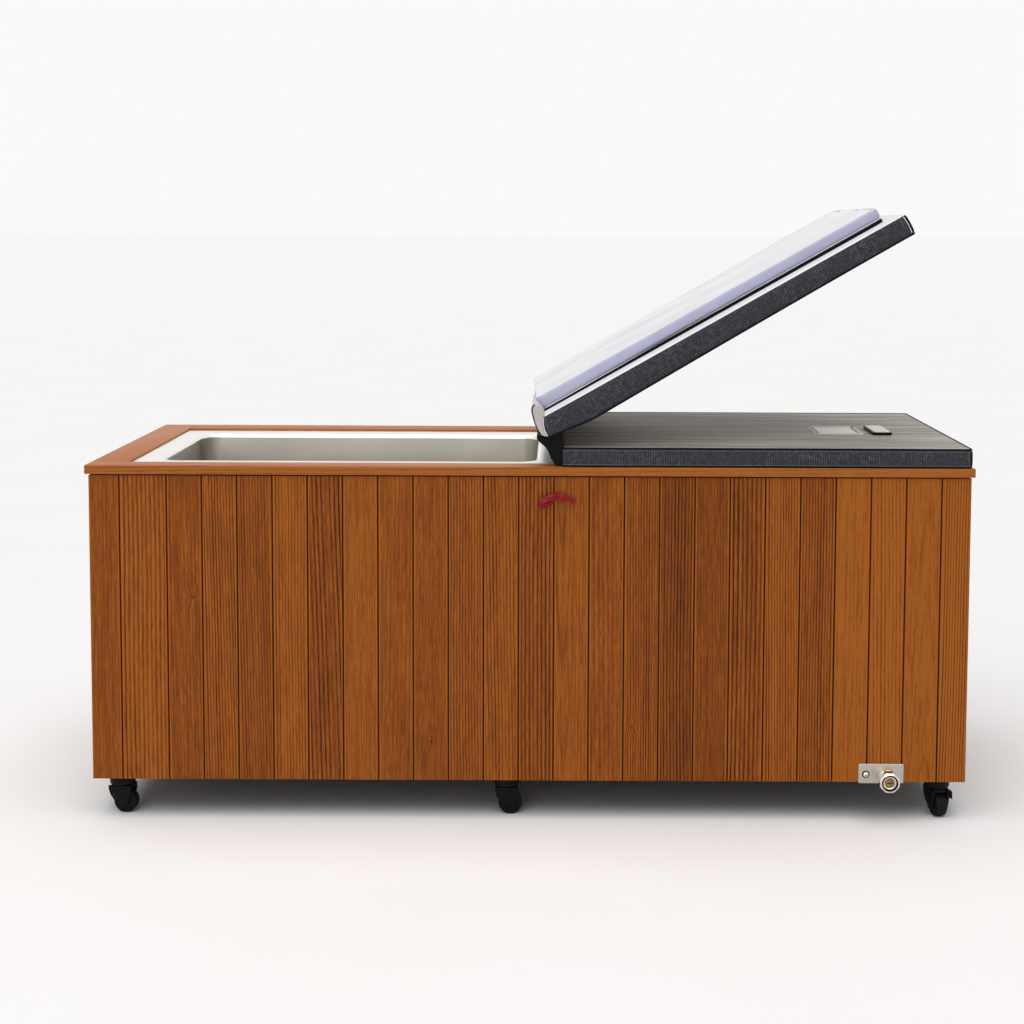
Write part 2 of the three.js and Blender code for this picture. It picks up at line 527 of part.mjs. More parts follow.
// Drain on the front: plate with its screw head, body through the cladding, collar, slotted plug
const faceY = -CLAD_Y;
const dp = DRAIN_PLATE;
const drainPlate = box(dp.x - dp.w / 2, dp.x + dp.w / 2, faceY - GAP - dp.t, faceY - GAP,
  dp.z - dp.h / 2, dp.z + dp.h / 2);
const screwAt = [dp.x - dp.w / 2 + 17, faceY - GAP - dp.t + 0.5, dp.z - 1.5];
const screw = alongY(turned([[0, 0], [9, 0], [9, 2], [6.5, 2.2], [6, 4.5], [0, 5.5]], 24), ...screwAt);
const plateHole = alongY(rod(DRAIN_TAIL_R + DRAIN_FIT, 20), DRAIN_X, faceY + 8, DRAIN_Z);
add('drain_plate', union(cut(drainPlate, plateHole), screw), M.chrome);
const out = faceY - GAP - dp.t - GAP;            // front of the plate
const tip = faceY - DRAIN_REACH;                 // foremost face of the collar
const reach = out - tip;
const TAIL = 58;
const PLUG_DEEP = 22;
const COLLAR_LONG = 26.4;
const bore = DRAIN_PLUG_R + 0.4;
const shoulder = reach - COLLAR_LONG - 0.6;
const drainBody = turned([[0, -TAIL], [DRAIN_TAIL_R, -TAIL], [DRAIN_TAIL_R, 0], [DRAIN_FLANGE_R, 0],
  [DRAIN_FLANGE_R, shoulder], [DRAIN_NECK_R, shoulder], [DRAIN_NECK_R, reach - 3],
  [bore, reach - 3], [bore, reach - PLUG_DEEP], [0, reach - PLUG_DEEP]], 24);
add('drain_body', alongY(drainBody, DRAIN_X, out, DRAIN_Z), M.grey);
const collarIn = DRAIN_NECK_R + 0.4;
const collarBack = reach - COLLAR_LONG;
const collarRound = turned([[collarIn, collarBack], [DRAIN_COLLAR_R - 1, collarBack],
  [DRAIN_COLLAR_R + 1.4, collarBack + 3], [DRAIN_COLLAR_R + 1.4, reach - 4], [DRAIN_COLLAR_R - 2.5, reach],
  [collarIn + 1.6, reach], [collarIn, reach - 2]], 32);
const NUT_SIDES = 8;
const nut = rod(DRAIN_COLLAR_R / Math.cos(Math.PI / NUT_SIDES), COLLAR_LONG + 2, NUT_SIDES)
  .rotateZ(Math.PI / NUT_SIDES).translate(0, 0, collarBack - 1);
add('drain_collar', alongY(common(collarRound, nut), DRAIN_X, out, DRAIN_Z), M.chrome);
const plugBack = reach - PLUG_DEEP + 0.4;
const plugRod = turned([[0, plugBack], [DRAIN_PLUG_R, plugBack], [DRAIN_PLUG_R, reach - 5],
  [DRAIN_PLUG_R - 1, reach - 4], [0, reach - 4]]);
const plugSlot = box(-DRAIN_PLUG_R + 4, DRAIN_PLUG_R - 4, -1.6, 1.6, reach - 9, reach);
add('drain_plug', alongY(cut(plugRod, plugSlot), DRAIN_X, out, DRAIN_Z), M.brass);
const drainEnd = out + TAIL + 0.4;
const tailZ = BASIN_FLOOR - STRAINER_TAIL - 0.5;
const runZ = BASE_Z1 + 16;
const toDrain = (share) => THREE.MathUtils.lerp(STRAINER.x, DRAIN_X, share);
add('drain_line', tube([[STRAINER.x, STRAINER.y, tailZ], [STRAINER.x, STRAINER.y, tailZ - 7],
  [STRAINER.x + 12, STRAINER.y, tailZ - 20], [STRAINER.x + 34, STRAINER.y - 4, runZ + 1],
  [STRAINER.x + 90, STRAINER.y - 40, runZ], [toDrain(0.26), -INNER_Y + 135, runZ],
  [toDrain(0.58), -INNER_Y + 90, runZ],
  [DRAIN_X - 190, -INNER_Y + 90, runZ],
  [DRAIN_X - 60, drainEnd + 58, runZ - 6], [DRAIN_X - 8, drainEnd + 36, DRAIN_Z + 4],
  [DRAIN_X, drainEnd + 16, DRAIN_Z], [DRAIN_X, drainEnd, DRAIN_Z]], 8, 36, 8), M.hose);

// Cable gland through the back cladding
const GLAND_NUT = 18;
const GLAND_IN = 30;
const gland = turned([[0, -GLAND.out], [GLAND_NUT, -GLAND.out], [GLAND_NUT, -GAP], [GLAND.r, -GAP],
  [GLAND.r, GLAND_IN], [0, GLAND_IN]], 12);
add('cable_gland', alongY(gland, GLAND.x, CLAD_Y, GLAND.z), M.nylon);

// Red ribbon pinned to the front: two short tails under a knot
const ribbonTail = (deg, long) => box(-9, 9, -0.9, 0.9, -long, 0).rotateY(THREE.MathUtils.degToRad(deg));
const ribbonKnot = box(-9, 9, -2.4, 2.4, -9, 9);
const RIBBON_DOWN = 66;     // knot below the rim's top
const RIBBON = { x: 59.5, z: RIM_TOP - RIBBON_DOWN, y: faceY - GAP - 2.5 };
add('ribbon', union(ribbonTail(58, 47), ribbonTail(-58, 47), ribbonKnot)
  .translate(RIBBON.x, RIBBON.y, RIBBON.z), M.ribbon);

// Lower leaf of the lid, with the control window let into its top
const lowerLeaf = slab(LOWER_X0, LOWER_X1, LEAF_FRONT, LEAF_BACK, RIM_TOP + GAP, LID_TOP,
  LEAF_CORNER, LEAF_EDGE);
const w = WINDOW;
const windowCut = (grow, z0) => box(w.x - w.w / 2 - grow, w.x + w.w / 2 + grow, w.y - w.d / 2 - grow,
  w.y + w.d / 2 + grow, z0, LID_TOP + 30);
const podCut = box(POD.x - POD.w / 2 + 4, POD.x + POD.w / 2 - 4, POD.y - POD.d / 2 + 4, POD.y + POD.d / 2 - 4,
  LID_TOP - 8, LID_TOP + 30);
add('lid_lower_leaf', cut(lowerLeaf, windowCut(GAP, LID_TOP - 16), podCut), M.vinyl);
const bezelRing = slab(w.x - w.w / 2, w.x + w.w / 2, w.y - w.d / 2, w.y + w.d / 2,
  LID_TOP - 15.7, LID_TOP + 3, 10, 1.2);
const DISPLAY = { w: w.w - 24, d: w.d - 24 };
const displayCut = (grow, z0) => box(w.x - DISPLAY.w / 2 - grow, w.x + DISPLAY.w / 2 + grow,
  w.y - DISPLAY.d / 2 - grow, w.y + DISPLAY.d / 2 + grow, z0, LID_TOP + 30);
add('control_bezel', cut(bezelRing, displayCut(0, LID_TOP - 8)), M.light);
add('control_display', box(w.x - DISPLAY.w / 2 + GAP, w.x + DISPLAY.w / 2 - GAP, w.y - DISPLAY.d / 2 + GAP,
  w.y + DISPLAY.d / 2 - GAP, LID_TOP - 7.7, LID_TOP + 0.6), M.light);
const podWall = 3;
const podBase = union(
  box(POD.x - POD.w / 2, POD.x + POD.w / 2, POD.y - POD.d / 2, POD.y + POD.d / 2,
    LID_TOP + GAP, LID_TOP + POD.h),
  box(POD.x - POD.w / 2 + 5, POD.x + POD.w / 2 - 5, POD.y - POD.d / 2 + 5, POD.y + POD.d / 2 - 5,
    LID_TOP - 7.6, LID_TOP + POD.h));
const capBox = (grow, z0, z1) => box(POD.x - POD.w / 2 + podWall - grow, POD.x + POD.w / 2 - podWall + grow,
  POD.y - POD.d / 2 + podWall - grow, POD.y + POD.d / 2 - podWall + grow, z0, z1);
const PRESS = 1.5;
add('control_pod', cut(podBase, capBox(0, LID_TOP + 1.2, LID_TOP + 30)), M.nylon);
add('pod_pad', capBox(-0.4, LID_TOP + 1.2 + PRESS + GAP, LID_TOP + POD.h + 2), M.light);

// Folding leaf, plug panel and seal: drawn closed, then turned up about the hinge
const pivotZ = LID_TOP + PIVOT_RISE;
const openUp = (geo) => geo.translate(-PIVOT_X, 0, -pivotZ).rotateY(Math.PI - RAISED)
  .translate(PIVOT_X, 0, pivotZ);
const plugFoot = FLANGE_TOP + GAP;
const sealFoot = plugFoot + PLUG_THICK + GAP;
const upperFoot = sealFoot + SEAL_THICK + GAP;
const upperTop = upperFoot + UPPER_THICK;
const END_BACK = 0.6;       // end of the folding leaf behind the fold line
const upperX1 = PIVOT_X - END_BACK;
const upperX0 = BASIN_X0 - LEAF_COVER;
add('lid_folding_leaf', openUp(slab(upperX0, upperX1, LEAF_FRONT, LEAF_BACK, upperFoot, upperTop,
  LEAF_CORNER, LEAF_EDGE)), M.vinyl);
const px0 = BASIN_X0 - PLUG_ON_END;
const px1 = BASIN_X1 + PLUG_ON_END;
const py0 = BASIN_Y0 - PLUG_ON_FRONT;
const py1 = BASIN_Y1 + PLUG_ON_BACK;
const SEAL_PROUD = 3;       // seal wider than the plug, on each side
const sealRing = (z) => ring(px0 - SEAL_PROUD, px1 + SEAL_PROUD, py0 - SEAL_PROUD, py1 + SEAL_PROUD,
  PLUG_CORNER + SEAL_PROUD, z);
add('lid_seal', openUp(skin([sealRing(sealFoot), sealRing(sealFoot + SEAL_THICK)])), M.black);
const plug = slab(px0, px1, py0, py1, plugFoot, plugFoot + PLUG_THICK, PLUG_CORNER, PLUG_EDGE);
add('lid_plug', openUp(plug), M.white);

// Hinge gusset: vinyl from the end of the lower leaf up to the outer face of the raised leaf,
// with a slack fold hanging under the raised leaf's end.
// Its throat is where the two leaves come nearest. Along and off give a point against the raised leaf's
// outer face, measured from the throat.
const THROAT_OUT = 29.5;    // from the lower leaf's end
const THROAT_UP = 14.3;     // above its top
const throat = { x: LOWER_X0 - THROAT_OUT, z: LID_TOP + THROAT_UP };
const faceOff = pivotZ - upperTop + (throat.x - PIVOT_X) * Math.sin(RAISED)
  + (pivotZ - throat.z) * Math.cos(RAISED);
const onLeaf = (along, off) => [
  throat.x - off * Math.sin(RAISED) + along * Math.cos(RAISED),
  throat.z + off * Math.cos(RAISED) + along * Math.sin(RAISED)];
const seat = LOWER_X0 - GAP;
const fold = (dx, dz) => [throat.x + dx, throat.z + dz];
const gussetLine = [[seat, RIM_TOP + 3], [seat, LID_TOP - 11], [seat - 3, LID_TOP - 2], fold(20, -6),
  onLeaf(28, faceOff - 6), onLeaf(30, faceOff - GAP), onLeaf(11, faceOff - GAP), fold(-4, 3), fold(-14, 7),
  fold(-22, 14), fold(-28, 14), fold(-29, 7), fold(-20, -5), fold(-7, -19), fold(3, -36),
  [throat.x + 8, RIM_TOP + 9], [throat.x + 12, RIM_TOP + 3]];
const GUSSET_IN = 12;       // short of the leaf at the front and the back
const gusset = plate(gussetLine, LEAF_BACK - LEAF_FRONT - 2 * GUSSET_IN).rotateX(Math.PI / 2)
  .translate(0, LEAF_BACK - GUSSET_IN, 0);
add('hinge_gusset', gusset, M.black);

// Casters: plate with swivel bowl and king pin, fork with axle, wheel, and a brake lever on the corner ones.
// Each is drawn with its swivel axis at the origin and its wheel trailing towards -X.
const PLATE_HALF = 30;
const PLATE_THICK = 5;
const BOWL_R = 29;
const PIN_R = 5;
const PIN_HEAD = { r: PIN_R + 3, z0: WHEEL_R * 2 + 1.2, h: 2 };
const CROWN_Z0 = PIN_HEAD.z0 + PIN_HEAD.h + GAP;
const CROWN_THICK = 8;
const CROWN_R = 23;
const bowlZ = CROWN_Z0 + CROWN_THICK + GAP;
const plateZ = CABINET_BOTTOM - GAP - PLATE_THICK;
const bowl = turned([[0, PIN_HEAD.z0], [PIN_HEAD.r, PIN_HEAD.z0], [PIN_HEAD.r, PIN_HEAD.z0 + PIN_HEAD.h],
  [PIN_R, PIN_HEAD.z0 + PIN_HEAD.h], [PIN_R, bowlZ], [BOWL_R - 10, bowlZ], [BOWL_R - 4, bowlZ + 4],
  [BOWL_R - 1, bowlZ + 9], [BOWL_R, plateZ + 1], [0, plateZ + 1]], 16);
const topPlate = box(-PLATE_HALF, PLATE_HALF, -PLATE_HALF, PLATE_HALF, plateZ, plateZ + PLATE_THICK);
const casterPlate = union(bowl, topPlate);
const FORK_IN = WHEEL_WIDTH / 2 + WHEEL_SIDE_GAP;
const FORK_OUT = FORK_IN + CHEEK_THICK;
const trail = -CASTER_TRAIL;
const crownTop = CROWN_Z0 + CROWN_THICK;
const cheekLine = [[trail - 17, crownTop], [trail - 18, CROWN_Z0 - 8], [trail - 12, WHEEL_R + 2],
  [trail - 9, WHEEL_R - 8], [trail, WHEEL_R - 12], [trail + 9, WHEEL_R - 8], [trail + 12, WHEEL_R + 2],
  [CROWN_R - 5, CROWN_Z0 - 6], [CROWN_R - 2, crownTop]];
const cheek = (y0) => plate(cheekLine, FORK_OUT - FORK_IN).rotateX(Math.PI / 2)
  .translate(0, y0 + FORK_OUT - FORK_IN, 0);
const crown = turned([[PIN_R + 0.6, CROWN_Z0], [CROWN_R, CROWN_Z0], [CROWN_R, crownTop - 2],
  [CROWN_R - 2, crownTop], [PIN_R + 0.6, crownTop]], 16);
const axle = alongY(rod(AXLE_R, 2 * FORK_OUT - 4, 12), trail, FORK_OUT - 2, WHEEL_R);
const crownCut = rod(PIN_R + 0.6, 60, 16).translate(0, 0, CROWN_Z0 - 10);
const fork = union(cut(union(crown, cheek(FORK_IN), cheek(-FORK_OUT)), crownCut), axle);
// Brake lever: a bent strip on a pin between two ears on the fork's side
const LEVER = { z: CROWN_Z0 - 6, y: -FORK_OUT - 4.5, half: 6, pin: 2, tube: 4, out: 8, down: 17, t: 3.4 };
const leverEar = (x0) => plate([[0, -4], [-4.5, -4], [-7, -1.5], [-7, 1.5], [-4.5, 4], [0, 4]], 3)
  .rotateX(Math.PI / 2).rotateZ(Math.PI / 2).translate(x0, -FORK_OUT + 0.5, LEVER.z);
const leverPin = alongX(rod(LEVER.pin, 2 * LEVER.half + 3, 10), -LEVER.half - 1.5, LEVER.y, LEVER.z);
const forkWithPin = union(fork, leverEar(-LEVER.half - 3.4), leverEar(LEVER.half + 0.4), leverPin);
const leverLine = [[2, LEVER.t], [-LEVER.out, LEVER.t], [-LEVER.out - LEVER.t, 0],
  [-LEVER.out - LEVER.t - 1, -LEVER.down], [-LEVER.out - 1, -LEVER.down], [-LEVER.out, -1], [2, -1]];
const leverStrip = plate(leverLine, 2 * LEVER.half).rotateX(Math.PI / 2)
  .rotateZ(Math.PI / 2).translate(-LEVER.half, LEVER.y, LEVER.z);
const leverTube = alongX(rod(LEVER.tube, 2 * LEVER.half, 12), -LEVER.half, LEVER.y, LEVER.z);
const leverHole = alongX(rod(LEVER.pin + 0.3, 40, 12), -20, LEVER.y, LEVER.z);
const lever = cut(union(leverStrip, leverTube), leverHole);
// The wheel's flats are set so that one lies on the floor
const WHEEL_SIDES = 20;
const rim = WHEEL_R / Math.cos(Math.PI / WHEEL_SIDES);
const half = WHEEL_WIDTH / 2;
const wheel = turned([[AXLE_R + 0.4, -half], [10, -half], [13, -half + 2], [rim - 6, -half + 1],
  [rim - 1.5, -half + 5], [rim, -half + 9], [rim, half - 9], [rim - 1.5, half - 5], [rim - 6, half - 1],
  [13, half - 2], [10, half], [AXLE_R + 0.4, half]], WHEEL_SIDES).rotateZ(Math.PI / WHEEL_SIDES);
const wheelStanding = alongY(wheel, trail, 0, WHEEL_R);
const rows = { f: -1, r: 1 };
const places = { l: -CLAD_X + CASTER_IN_LEFT, m: CASTER_MID_X, r: CLAD_X - CASTER_IN_RIGHT };
for (const [row, sy] of Object.entries(rows)) {
  for (const [side, x] of Object.entries(places)) {
    const id = row + side;
    const y = sy * (CLAD_Y - CASTER_IN_DEPTH);
    // The trail points along -X before turning, so a half turn is taken off the heading
    const turn = THREE.MathUtils.degToRad(CASTER_TURN[id] - 180);
    const put = (g) => g.clone().rotateZ(turn).translate(x, y, 0);
    const braked = side !== 'm';
    add(`caster_${id}_plate`, casterPlate.clone().translate(x, y, 0), M.nylon);
    add(`caster_${id}_fork`, put(braked ? forkWithPin : fork), M.nylon);
    add(`caster_${id}_wheel`, put(wheelStanding), M.tread);
    if (braked) add(`caster_${id}_brake`, put(lever), M.nylon);
  }
}

export default group;
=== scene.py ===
# Cold plunge tub: a red cedar cabinet on casters, with a steel basin, an equipment bay and a folding lid.
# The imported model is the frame, and each section below dresses one piece of it, in the order of assembly.
import json
import math
import random
import bmesh
import bpy
from mathutils import Matrix, Vector, noise


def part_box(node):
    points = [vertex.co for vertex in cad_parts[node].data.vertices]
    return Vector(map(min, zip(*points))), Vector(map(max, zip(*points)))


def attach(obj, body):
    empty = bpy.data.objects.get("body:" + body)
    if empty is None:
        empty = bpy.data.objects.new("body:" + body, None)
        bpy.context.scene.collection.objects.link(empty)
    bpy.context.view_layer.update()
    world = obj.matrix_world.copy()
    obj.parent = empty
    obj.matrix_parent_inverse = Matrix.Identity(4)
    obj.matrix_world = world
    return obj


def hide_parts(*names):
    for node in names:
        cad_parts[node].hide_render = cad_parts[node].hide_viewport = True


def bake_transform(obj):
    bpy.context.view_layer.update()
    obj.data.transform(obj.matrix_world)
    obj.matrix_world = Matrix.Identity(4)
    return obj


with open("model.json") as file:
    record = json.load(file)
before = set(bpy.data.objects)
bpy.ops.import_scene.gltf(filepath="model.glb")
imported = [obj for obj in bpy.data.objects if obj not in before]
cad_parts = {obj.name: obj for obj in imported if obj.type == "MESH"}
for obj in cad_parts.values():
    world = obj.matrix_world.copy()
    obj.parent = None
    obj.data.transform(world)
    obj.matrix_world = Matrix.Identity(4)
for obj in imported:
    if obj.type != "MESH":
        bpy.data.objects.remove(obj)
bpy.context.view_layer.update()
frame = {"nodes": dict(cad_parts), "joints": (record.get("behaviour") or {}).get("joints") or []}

nodes = frame["nodes"]
joints = {joint["name"]: joint for joint in frame["joints"]}
scene = bpy.context.scene

# Camera
# It stands at eye height in front of the tub with a short telephoto lens. The picture is a cut from a
# wider one, which the lens shift gives back.
camera = bpy.data.objects.new("camera", bpy.data.cameras.new("camera"))
camera.data.lens = 60.28
camera.data.sensor_width = 36
camera.data.shift_x = -0.0476
camera.data.shift_y = -0.1533
look = Matrix.Rotation(math.radians(85.762), 4, "X") @ Matrix.Rotation(math.radians(0.247), 4, "Z")
camera.matrix_world = Matrix.Translation((0.068, -4.193, 1.345)) @ look
scene.collection.objects.link(camera)
scene.camera = camera


# Floor and light
# A pale studio floor of matt paint in a white room, under a bright diffusing ceiling and with a weak soft
# box in front. The plain view transform keeps the whites of the floor and the room.
def linear(colour):
    """Turns an sRGB hex colour into the linear values that the shader sockets take."""
    channels = [int(colour[i:i + 2], 16) / 255 for i in (1, 3, 5)]
    return [c / 12.92 if c <= 0.04045 else ((c + 0.055) / 1.055) ** 2.4 for c in channels] + [1.0]


def set_inputs(material, node, inputs):
    """Sets the sockets of a node, each to a number or colour or to a link from another node."""
    for socket, value in inputs.items():
        if isinstance(value, bpy.types.NodeSocket):
            material.node_tree.links.new(value, node.inputs[socket])
        else:
            node.inputs[socket].default_value = value


def add_node(material, kind, inputs, stops=(), **settings):
    """Adds a node with its settings, its inputs and, on a ramp, its colour stops."""
    node = material.node_tree.nodes.new("ShaderNode" + kind)
    for setting, value in settings.items():
        setattr(node, setting, value)
    for number, (position, colour) in enumerate(stops):
        ramp = node.color_ramp.elements
        if number == 0:
            ramp.remove(ramp[1])
        element = ramp[0] if number == 0 else ramp.new(position)
        element.position = position
        element.color = linear(colour)
    set_inputs(material, node, inputs)
    return node.outputs[0]


def finish_surface(material, **sockets):
    """Sets sockets of the material's shader, named as on the shader, to constants or to links."""
    shader = material.node_tree.nodes["Principled BSDF"]
    set_inputs(material, shader, {key.replace("_", " "): value for key, value in sockets.items()})


def new_material(name, **sockets):
    """Makes a material whose shader has these constant sockets."""
    material = bpy.data.materials.new(name)
    material.use_nodes = True
    finish_surface(material, **sockets)
    return material


def paint(material, pattern, stops, rough=None, bump=None, height=None):
    """Colours a surface by a ramp over a pattern, and sets its roughness by it where a range is given. A bump
    of (strength, depth) follows the pattern, or a height of its own."""
    finish_surface(material, Base_Color=add_node(material, "ValToRGB", {"Fac": pattern}, stops))
    if rough:
        finish_surface(material, Roughness=add_node(material, "MapRange", {
            "Value": pattern, "To Min": rough[0], "To Max": rough[1]}))
    if bump:
        finish_surface(material, Normal=add_node(material, "Bump", {
            "Height": pattern if height is None else height, "Strength": bump[0], "Distance": bump[1]}))


def cloud_surface(material, scale, detail, stops, rough=None, bump=None, grain=None):
    """Paints a surface in soft clouds. The bump may have a finer grain of its own (scale, detail)."""
    place = add_node(material, "TexCoord", {}).node.outputs["Object"]
    clouds = add_node(material, "TexNoise", {"Vector": place, "Scale": scale, "Detail": detail})
    height = None
    if grain:
        height = add_node(material, "TexNoise", {"Vector": place, "Scale": grain[0], "Detail": grain[1]})
    paint(material, clouds, stops, rough, bump, height)


floor_paint = new_material("matt floor paint", Roughness=0.85)
cloud_surface(floor_paint, 1.5, 3.0, [(0.0, "#f7f7f6"), (0.5, "#faf9f9"), (1.0, "#fcfbfb")])
bm = bmesh.new()
bmesh.ops.create_grid(bm, x_segments=8, y_segments=8, size=300)
floor = bpy.data.objects.new("floor", bpy.data.meshes.new("floor"))
bm.to_mesh(floor.data)
bm.free()
floor.data.materials.append(floor_paint)
scene.collection.objects.link(floor)

scene.view_settings.view_transform = "Standard"
scene.world = bpy.data.worlds.new("white room")
scene.world.use_nodes = True
# The room is seen at full strength, but gives matt surfaces a fifth of its light, so that the lamps can
# draw shadows
matt_ray = add_node(scene.world, "LightPath", {}).node.outputs["Is Diffuse Ray"]
room = add_node(scene.world, "Math", {0: matt_ray, 1: -0.8, 2: 1.0}, operation="MULTIPLY_ADD")
set_inputs(scene.world, scene.world.node_tree.nodes["Background"],
           {"Color": linear("#fbfaf9"), "Strength": room})
ceiling = bpy.data.lights.new("bright ceiling", "SUN")
ceiling.angle = math.radians(75)
ceiling.energy = 2.45
soft_box = bpy.data.lights.new("soft box in front", "AREA")
soft_box.size = 2.8
soft_box.energy = 28
for light, spot, aim in ((ceiling, (-0.4, -1.0, 4.0), (0, 0, 0)), (soft_box, (-1.4, -5.2, 2.6), (0, 0, 0.5))):
    lamp = bpy.data.objects.new(light.name, light)
    turn = (Vector(aim) - Vector(spot)).to_track_quat("-Z", "Y").to_matrix().to_4x4()
    lamp.matrix_world = Matrix.Translation(spot) @ turn
    scene.collection.objects.link(lamp)


# Cladding boards
# The cabinet's sides are upright tongued boards of oiled red cedar, 19 mm thick, nailed to the frame
# from inside. Each board is sawn from its own log, so it has its own colour and its own growth rings.
def piece(name, bm, material, body, smooth=35, stands_for=None):
    """Makes an object of a finished bmesh, smooth up to an angle, that rides on a body and may stand in
    for a CAD node."""
    made = bpy.data.objects.new(name, bpy.data.meshes.new(name))
    bm.to_mesh(made.data)
    bm.free()
    made.data.materials.append(material)
    made.data.shade_smooth()
    made.data.set_sharp_from_angle(angle=math.radians(smooth))
    scene.collection.objects.link(made)
    if body:
        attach(made, body)
    if stands_for:
        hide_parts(stands_for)
    return made


def slice_at(bm, spot, normal, **how):
    """Cuts a whole mesh at a plane, and gives the edges along the cut."""
    whole = bm.verts[:] + bm.edges[:] + bm.faces[:]
    cut = bmesh.ops.bisect_plane(bm, geom=whole, plane_co=spot, plane_no=normal, **how)
    return [part for part in cut["geom_cut"] if isinstance(part, bmesh.types.BMEdge)]


def push(bm, faces, way):
    """Extrudes faces, and gives the vertices at the far end."""
    pushed = bmesh.ops.extrude_face_region(bm, geom=faces)["geom"]
    far = [part for part in pushed if isinstance(part, bmesh.types.BMVert)]
    bmesh.ops.translate(bm, verts=far, vec=way)
    return far


def timber():
    """Starts a bmesh that keeps, at each point, its place in the log and the look of its board."""
    bm = bmesh.new()
    bm.verts.layers.float_vector.new("grain")
    bm.verts.layers.float_vector.new("board")
    return bm


def lay_grain(bm, verts, heart, across, deep, along, tone, figure, far=0.0):
    """Stores each point's place in the log, from the log's heart and from its foot, and the board's look."""
    grain = bm.verts.layers.float_vector["grain"]
    look = bm.verts.layers.float_vector["board"]
    for vert in verts:
        offset = vert.co - heart
        vert[grain] = (offset.dot(across), offset.dot(deep), offset.dot(along) + far)
        vert[look] = (tone, figure, 0)


# Red cedar, planed and oiled: the eye sees a darker line of late wood at each growth ring, fine fibres
# along the board, slow clouds of colour, and a small knot here and there that the rings pass round. Rings
# are 8 mm apart, nearly three times the real ones, and fibres 2 mm, so that they show.
RING = 0.008
KNOTS = 1.3
cedar = new_material("oiled red cedar", Specular_IOR_Level=0.12)
log = add_node(cedar, "Attribute", {}, attribute_name="grain").node.outputs["Vector"]
look = add_node(cedar, "Attribute", {}, attribute_name="board").node.outputs["Vector"]
board_tone = add_node(cedar, "SeparateXYZ", {"Vector": look})
board_figure = board_tone.node.outputs["Y"]
across_log = add_node(cedar, "SeparateXYZ", {"Vector": log})
face_place = add_node(cedar, "CombineXYZ", {"X": across_log, "Y": across_log.node.outputs["Z"]})
to_knot = add_node(cedar, "TexVoronoi", {"Vector": face_place, "Scale": KNOTS}, voronoi_dimensions="2D")
swerve = add_node(cedar, "MapRange", {
    "Value": to_knot, "From Min": 0.0, "From Max": 0.030 * KNOTS, "To Min": 0.008, "To Max": 0.0},
    interpolation_type="SMOOTHSTEP")
core = add_node(cedar, "MapRange", {
    "Value": to_knot, "From Min": 0.0015 * KNOTS, "From Max": 0.006 * KNOTS, "To Min": 0.3, "To Max": 0.0})
slow = add_node(cedar, "Mapping", {"Vector": log, "Scale": (5, 5, 1.3)})
drift = add_node(cedar, "TexNoise", {"Vector": slow, "Scale": 1.0, "Detail": 1.5})
flat = add_node(cedar, "VectorMath", {0: log, 1: (1, 1, 0)}, operation="MULTIPLY")
radius = add_node(cedar, "VectorMath", {0: flat}, operation="LENGTH").node.outputs["Value"]
wander = add_node(cedar, "Math", {0: drift, 1: 0.016, 2: radius}, operation="MULTIPLY_ADD")
bent = add_node(cedar, "Math", {0: wander, 1: swerve}, operation="ADD")
year = add_node(cedar, "Math", {0: bent, 1: RING}, operation="DIVIDE")
season = add_node(cedar, "Math", {0: year}, operation="FRACT")
late = add_node(cedar, "ValToRGB", {"Fac": season}, [
    (0.0, "#404040"), (0.2, "#000000"), (0.5, "#606060"), (0.74, "#ffffff"), (0.88, "#b0b0b0"),
    (1.0, "#404040")])
years = add_node(cedar, "CombineXYZ", {"X": year})
vigour = add_node(cedar, "TexNoise", {"Vector": years, "Scale": 0.3, "Detail": 1.0})
strength = add_node(cedar, "MapRange", {
    "Value": vigour, "From Min": 0.3, "From Max": 0.7, "To Min": 0.25, "To Max": 1.0})
rings = add_node(cedar, "Math", {0: late, 1: strength}, operation="MULTIPLY")
fibre_run = add_node(cedar, "Mapping", {"Vector": log, "Scale": (480, 480, 25)})
fibres = add_node(cedar, "TexNoise", {"Vector": fibre_run, "Scale": 1.0, "Detail": 4.0, "Roughness": 0.6})
streak_run = add_node(cedar, "Mapping", {"Vector": log, "Scale": (150, 150, 1.8)})
streaks = add_node(cedar, "TexNoise", {"Vector": streak_run, "Scale": 1.0, "Detail": 3.0})
cloud_run = add_node(cedar, "Mapping", {"Vector": log, "Scale": (13, 13, 3.5)})
clouds = add_node(cedar, "TexNoise", {"Vector": cloud_run, "Scale": 1.0, "Detail": 3.0})
shade = add_node(cedar, "Math", {0: rings, 1: board_figure, 2: core}, operation="MULTIPLY_ADD")
for mark, weight in ((fibres, 0.85), (streaks, 0.55), (clouds, 0.15), (board_tone, -1.15)):
    shade = add_node(cedar, "Math", {0: mark, 1: weight, 2: shade}, operation="MULTIPLY_ADD")
hue = add_node(cedar, "ValToRGB", {"Fac": shade}, [
    (0.1, "#a65e1d"), (0.3, "#8e4b14"), (0.5, "#773b0f"), (0.75, "#56280a"), (1.0, "#301304")])
oil = add_node(cedar, "MapRange", {"Value": streaks, "To Min": 0.36, "To Max": 0.52})
relief = add_node(cedar, "Bump", {"Height": fibres, "Strength": 0.2, "Distance": 0.0005})
finish_surface(cedar, Base_Color=hue, Roughness=oil, Normal=relief)

BOARD_THICK = 0.019
BOARD_PITCH = 0.0793
FIRST_BOARD = 0.070
SECOND_BOARD = 0.106
SEAM = 0.0033
# Painted shade inside the seams, and a painted highlight along the edges of each board's face
SEAM_SHADE = -0.6
ARRIS = 0.0013
IN_SEAM = ARRIS * 1.5    # deeper than this is inside the seam
ON_ARRIS = ARRIS * 1.2
# Width of the painted highlight along the face's edges, and its strength on each side
ARRIS_HIGHLIGHT = 0.0034
ARRIS_HIGHLIGHT_LEFT = 0.85
ARRIS_HIGHLIGHT_RIGHT = 0.5
TONGUE = 0.006
TONGUE_FROM = 0.007
TONGUE_TO = 0.012
SHADOW_GAP = 0.0028


